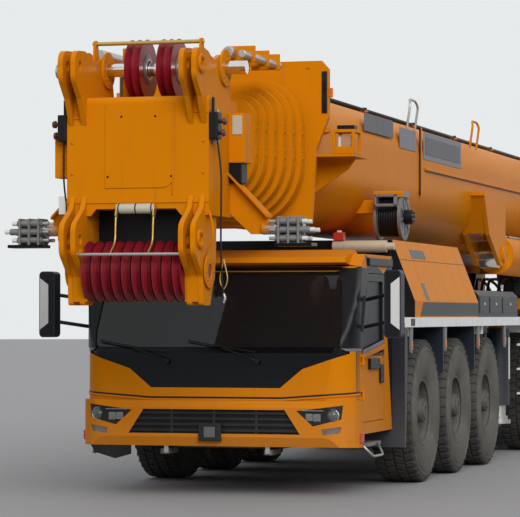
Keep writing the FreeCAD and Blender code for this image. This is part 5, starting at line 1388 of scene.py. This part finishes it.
for x, key in ((0.82, "amber_lens"), (0.97, "red_lens"), (1.11, "white")):
    lamps.take(key, turned("y", (x, TAIL - 0.072, 0.625),
        [(0, 0), (0, 0.045), (-0.014, 0.045), (-0.02, 0.03), (-0.02, 0)], 28), True)
lamps.done()

# %% [markdown]
# ## Engine cover and deck
#
# The cover's panels meet in seams that the solid already has. Its low band is dark, a bare plate
# and a dark patch lie on its slope, and the deck's pale edge beam has brackets and grab handles.

# %% Dress the engine cover and the space behind the cab
HOOD_SIDE = HOOD_HIGH.x
SEAM_GAP = 0.56
hood = Kit("hood", "carrier")


def on_hood(y, share, proud=0.0):
    """Point on the cover's sloping side: share 0 at the knee and 1 at the top edge."""
    slope = Vector((-0.24, 0, 0.625))
    out = Vector((0.625, 0, 0.24)).normalized()
    return Vector((HOOD_SIDE, y, 1.86)) + slope * share + out * proud


hood.take("frame", prism("x", HOOD_SIDE - 0.002, HOOD_SIDE + 0.003,
    [(HOOD_LOW.y + 0.24, DECK_TOP + 0.012), (HOOD_HIGH.y - 0.02, DECK_TOP + 0.012),
    (HOOD_HIGH.y - 0.02, 1.85), (HOOD_LOW.y + 0.4, 1.85)], 0.001), True)
for first, last, low, high, key in ((0.62, 1.3, 0.72, 0.86, "plate"), (0.6, 0.74, 0.02, 0.3, "mask")):
    corners = [on_hood(HOOD_LOW.y + along, share, lift) for lift in (-0.001, 0.003)
        for along, share in ((first, low), (last, low), (last, high), (first, high))]
    shape = bmesh.new()
    points = [shape.verts.new(corner) for corner in corners]
    for a, b, c, d in ((3, 2, 1, 0), (4, 5, 6, 7), (0, 1, 5, 4), (1, 2, 6, 5), (2, 3, 7, 6),
            (3, 0, 4, 7)):
        shape.faces.new([points[k] for k in (a, b, c, d)])
    bmesh.ops.recalc_face_normals(shape, faces=shape.faces)
    hood.take(key, shape, True)
for y in (HOOD_LOW.y + 1.85, HOOD_LOW.y + 2.41):
    for k in range(13):
        slat = bar(on_hood(y + 0.06, 0.28 + k * 0.05, 0.001), on_hood(y + 0.5, 0.28 + k * 0.05, 0.001),
            0.007, 8)
        bmesh.ops.scale(slat, vec=(-1, 1, 1), verts=slat.verts)
        bmesh.ops.reverse_faces(slat, faces=slat.faces)
        hood.take("black", slat)
hood.take("black", pipe([on_hood(HOOD_LOW.y + 0.02, 0.68, -0.001),
    on_hood(HOOD_HIGH.y - 0.02, 0.68, -0.001)], 0.004, 0.1, 6), True)
for k in range(4):
    y = HOOD_LOW.y + 0.7 + k * SEAM_GAP
    for row in range(6):
        z = HOOD_HIGH.z
        hood.take("black", box((-0.55, 0.55), (y + 0.03 + row * 0.07, y + 0.065 + row * 0.07),
            (z - 0.001, z + 0.01), 0.003))
add_boxes(hood, (0, HOOD_LOW.y, 0), [
    ("black", 1.01, 1.2, -0.075, 0, 2.19, 2.43, 0.012, 0),
    ("signal", 0.63, 0.74, -0.195, -0.115, 2.476, 2.56, 0.008, 0),
    ("white", 0.665, 0.705, -0.18, -0.13, 2.56, 2.58, 0.004, 0),
    ("signal", 0.63, 0.69, -0.09, 0, 2.1, 2.16, 0.006, 0),
    ("grey", -0.6, 0.58, -0.1, 0, 1.9, 2.36, 0.02, 0)])
for k in range(9):
    x = -0.55 + k * 0.135
    add_boxes(hood, (x, HOOD_LOW.y, 0), [("black", 0, 0.09, -0.106, -0.098, 1.94, 2.32, 0.003, 0)])
for x, z in ((0.8, 2.0), (0.88, 1.95), (-0.8, 2.05), (-0.92, 1.92)):
    add_pipes(hood, (0, HOOD_LOW.y, 0), [
        ("black", [(x, 0.01, z), (x, -0.1, z), (x * 0.9, -0.18, 1.72), (x * 0.8, -0.2, 1.5)], 0.022,
         0.1, 0)])
hood.done()

# %% Dress the deck's edge
deck = Kit("deck", "carrier")
EDGE_X = DECK_HIGH.x
add_boxes(deck, (EDGE_X, DECK_LOW.y, 0), [("black", -0.006, 0.003, 0.02, 0.2, 1.606, 1.68, 0.004, 1)])
for station in (-0.65, 1.0, 2.8, 4.4, 8.0, 10.5, 12.4):
    y = at(station)
    deck.take("zinc", prism("x", EDGE_X - 0.032, EDGE_X - 0.012,
        [(y - 0.065, 1.592), (y + 0.065, 1.592), (y + 0.035, 1.33, 0.02), (y - 0.035, 1.33, 0.02)],
        0.003), True)
    add_boxes(deck, (EDGE_X, y, 0), [
        ("amber_lens", -0.014, -0.006, -0.026, 0.026, 1.365, 1.455, 0.003, 1)])
for station in (2.55, 3.25, 6.7, 12.9):
    y = at(station)
    add_pipes(deck, (EDGE_X, y, DECK_TOP), [
        ("steel", [(-0.1, 0, -0.01), (-0.1, 0, 0.16), (-0.1, 0.34, 0.16), (-0.1, 0.34, -0.01)], 0.013,
         0.06, 1)])
for station, length in ((3.12, 0.55), (3.72, 0.75), (4.52, 0.95)):
    y = at(station)
    add_boxes(deck, (0, y, 0), [
        ("black", 1.418, 1.426, 0.02, length - 0.02, 1.735, 1.925, 0.004, 1),
        ("steel", 1.424, 1.436, length / 2 - 0.03, length / 2 + 0.03, 1.83, 1.86, 0.004, 1)])
for k in range(3):
    z = 0.74 + k * 0.3
    for step in range(5):
        y = at(5.66 + step * 0.078)
        add_boxes(deck, (0, y, z), [("steel", 1.392, 1.476, 0, 0.01, 0.023, 0.03, 0.001, 1)])
deck.done()
locker_faces = zone("deck", "black", lambda c, n: c.z > DECK_TOP + 0.004)
print("locker faces", locker_faces)

# %% [markdown]
# ## Under-frame and outriggers
#
# Between the wheels hang air tanks, a fuel tank, drive shafts and hoses. Little light reaches
# them, but seen from low down their dark outlines fill the gaps that an empty frame would leave.

# %% Hang tanks, shafts and hoses in the frame
under = Kit("under", "carrier")
axles = sorted(AXLE_Y.values())
for first, second in zip(axles, axles[1:]):
    under.take("frame", bar((0, first + 0.22, 0.735), (0, second - 0.22, 0.735), 0.055, 20))
    for y in (first + 0.24, second - 0.24):
        under.take("steel", bar((0, y - 0.03, 0.735), (0, y + 0.03, 0.735), 0.095, 20))
for y in (axles[0] + 0.62, axles[1] + 0.62, axles[4] + 0.6, axles[5] + 0.62):
    for z in (1.12, 1.36):
        under.take("frame", turned("y", (0.86, y, z),
            [(0, 0), (0, 0.075), (0.02, 0.1), (0.4, 0.1), (0.42, 0.075), (0.42, 0)], 24), True)
add_boxes(under, ORIGIN, [
    ("alloy", 0.64, 1.06, axles[2] + 0.86, axles[2] + 1.9, 0.86, 1.44, 0.05, 1),
    ("frame", 0.63, 1.07, axles[2] + 1.05, axles[2] + 1.09, 0.85, 1.45, 0.01, 1),
    ("frame", 0.63, 1.07, axles[2] + 1.65, axles[2] + 1.69, 0.85, 1.45, 0.01, 1)])
for x, z, radius in ((0.605, 1.22, 0.012), (0.607, 1.27, 0.01), (0.605, 1.32, 0.014)):
    add_pipes(under, (x, 0, z), [
        ("black", [(0, axles[0] - 0.3, 0), (0, axles[-1] + 0.6, 0)], radius, 0.1, 1)])
for y in AXLE_Y.values():
    for dy in (-0.16, 0.16):
        add_pipes(under, (0, y, 0), [
            ("black", [(0.607, dy, 1.24), (0.72, dy, 1.2), (0.78, dy * 1.2, 1.02),
             (0.8, dy * 1.1, 0.9)], 0.012, 0.08, 1)])
under.done()

# %% Mark the outrigger boxes
box_strip = Kit("outrigger", "carrier")
BEAMS = sorted(name for name in NODES if name.startswith("outrigger_beam_"))
for name in BEAMS:
    low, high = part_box(name)
    sign = SIDES[name.split("_")[-1]]
    out = middle("outrigger_jack_front_left").x - 0.165
    for y in (low.y - 0.012, high.y - 0.028):
        box_strip.take("white",
            box(outward_pair(sign, out, out + 0.006), (y, y + 0.04), (0.88, 1.5), 0.002))
box_strip.done()
for name in BEAMS:
    low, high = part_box(name)
    sign = SIDES[name.split("_")[-1]]
    jack = Kit(name.replace("outrigger_beam", "jack_trim"), name)
    x = sign * 1.335
    jack.take("orange", turned("z", (x, (low.y + high.y) / 2, high.z),
        [(0, 0), (0, 0.12), (0.025, 0.115), (0.04, 0.06), (0.04, 0)], 32))
    add_boxes(jack, ORIGIN, [
        ("white", *outward_pair(sign, 1.335 + 0.128, 1.335 + 0.138), (low.y + high.y) / 2 - 0.03,
         (low.y + high.y) / 2 + 0.03, 0.95, 1.45, 0.002, 0)])
    jack.done()

# %% [markdown]
# ## Upper structure
#
# Behind the engine cover stands the slewing platform with the crane operator's cab on its left,
# the winch in the rear and the boom's pivot between two cheeks. The photograph hides it, so it
# gets what such a platform always has: ring bolts, slewing drives, hoses and wound rope.

# %% Dress the platform, pivot and operator's cab
RING = Vector((0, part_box("operator_cab")[0].y + 0.02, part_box("turntable")[0].z))
PIVOT = Vector((0, BASE_HIGH.y - 0.35, 3.3))
FLOOR_Z = 1.95
upper = Kit("upper", "superstructure")
for p, q in circle(48, 0.975):
    upper.take("steel", bar(RING + Vector((p, q, 0.03)), RING + Vector((p, q, 0.075)), 0.016, 6))
for x, y in ((-0.45, -0.95), (0.45, -0.95), (-0.55, 0.85)):
    upper.take("black", turned("z", (x, RING.y + y, FLOOR_Z - 0.01),
        [(0, 0), (0, 0.145), (0.05, 0.15), (0.06, 0.12), (0.24, 0.12), (0.25, 0.09), (0.4, 0.09),
        (0.41, 0.05), (0.41, 0)], 28))
for side in (1, -1):
    add_disc(upper, "steel", "x", (side * 0.91, PIVOT.y, PIVOT.z), 0.175, 0.03, side * 0.018, False, 8)
add_boxes(upper, (0, RING.y, 0), [
    ("black", -1.04, -0.93, -0.6, 0.7, FLOOR_Z - 0.005, 2.48, 0.03, 0),
    ("grey", -1.045, -1.036, -0.5, 0.6, 2.02, 2.4, 0.01, 0),
    ("galvanised", -0.8, 0.8, 3.36, 3.44, FLOOR_Z - 0.005, 2.1, 0.01, 0),
    ("steel", -0.3, 0.3, -1.3, -0.7, FLOOR_Z - 0.002, FLOOR_Z + 0.008, 0.002, 0)])
for x in (-0.26, -0.17, -0.08, 0.08, 0.17, 0.26):
    add_pipes(upper, (0, RING.y, FLOOR_Z), [
        ("black", [(x, -0.3, 0), (x, -0.1, 0.28), (x * 1.4, 0.7, 0.3), (x * 1.6, 1.5, 0.22),
         (x * 1.8, 2.3, 0.02)], 0.022, 0.2, 0)])
OPERATOR_LOW, OPERATOR_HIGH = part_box("operator_cab")
add_boxes(upper, (0, RING.y, 0), [
    ("black", OPERATOR_HIGH.x, OPERATOR_HIGH.x + 0.018, 0.1, 1.56, 2.38, 2.4, 0.004, 0),
    ("black", OPERATOR_HIGH.x, OPERATOR_HIGH.x + 0.03, 1.535, 1.565, 2.3, 2.6, 0.008, 0),
    ("grey", OPERATOR_LOW.x + 0.05, OPERATOR_HIGH.x - 0.03, 0.2, 1.5, 3.3, 3.335, 0.012, 0)])
for x in (OPERATOR_LOW.x + 0.1, OPERATOR_HIGH.x - 0.1):
    upper.take("black", turned("y", (x, RING.y + 0.13, 3.375),
        [(0, 0), (0, 0.05), (0.03, 0.062), (0.09, 0.05), (0.11, 0)], 24))
    upper.take("lens", turned("y", (x, RING.y + 0.126, 3.375),
        [(0, 0), (0, 0.048), (0.006, 0.048), (0.006, 0)], 24))
    add_boxes(upper, (x, RING.y, 0), [("black", -0.012, 0.012, 0.17, 0.2, 3.295, 3.36, 0.004, 0)])
for k in range(8):
    upper.take("steel", bar((OPERATOR_HIGH.x - 0.05, RING.y + 0.25 + 0.15 * k, FLOOR_Z - 0.001),
        (OPERATOR_HIGH.x - 0.55, RING.y + 0.25 + 0.15 * k, FLOOR_Z - 0.001), 0.006, 8))
upper.done()

# %% Sort the operator's cab faces and wind the rope on the winch
def front_pane(c, n):
    plane = RING.y - 0.02 + 0.16 * (c.z - 2.35) / 0.95
    return abs(n.y) > 0.8 and 0.008 < c.y - plane < 0.03 and 2.29 < c.z < 3.18


def side_pane(c, n):
    return abs(n.x) > 0.9 and 0.01 < OPERATOR_HIGH.x - c.x < 0.026 and 2.41 < c.z < 3.2


glass_faces = zone("operator_cab", "glass", lambda c, n: front_pane(c, n) or side_pane(c, n))
seat_faces = zone("operator_cab", "interior",
    lambda c, n: 1.005 < c.x < 1.42 and 0.74 < c.y - RING.y < 1.38 and 2.0 < c.z < 3.06)
WINCH = middle("winch_drum")
winch = Kit("winch", "winch")
ROPE_R = 0.012
TURNS = 40
coil = []
for k in range(TURNS):
    x = -0.5 + k * 2.08 * ROPE_R
    coil += [(x - ROPE_R, 0.248), (x - ROPE_R * 0.6, 0.2575), (x, 0.262), (x + ROPE_R * 0.6, 0.2575)]
winch.take("rope", turned("x", (0, WINCH.y, WINCH.z),
    [(-0.515, 0.235)] + coil + [(0.515, 0.248), (0.515, 0.235), (-0.515, 0.235)], 48))
winch.done()
print("operator glass", glass_faces, "seat", seat_faces)

# %% Fit the lift cylinders' lines
LIFT_LOW, LIFT_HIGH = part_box("lift_cylinder")
LIFT_X = 0.8
lift = Kit("lift", "lift_barrel")
for x in (LIFT_X - 0.07, LIFT_X + 0.07):
    add_pipes(lift, (x, 0, 0), [
        ("steel", [(0, LIFT_LOW.y + 0.18, 2.745), (0, LIFT_HIGH.y - 0.55, 2.735),
         (0, LIFT_HIGH.y - 0.45, 2.66)], 0.014, 0.05, 1)])
for y in (LIFT_LOW.y + 0.45, LIFT_LOW.y + 1.45, LIFT_LOW.y + 2.45):
    add_boxes(lift, (LIFT_X, y, 0), [("black", -0.095, 0.095, 0, 0.05, 2.7, 2.765, 0.008, 1)])
lift.done()
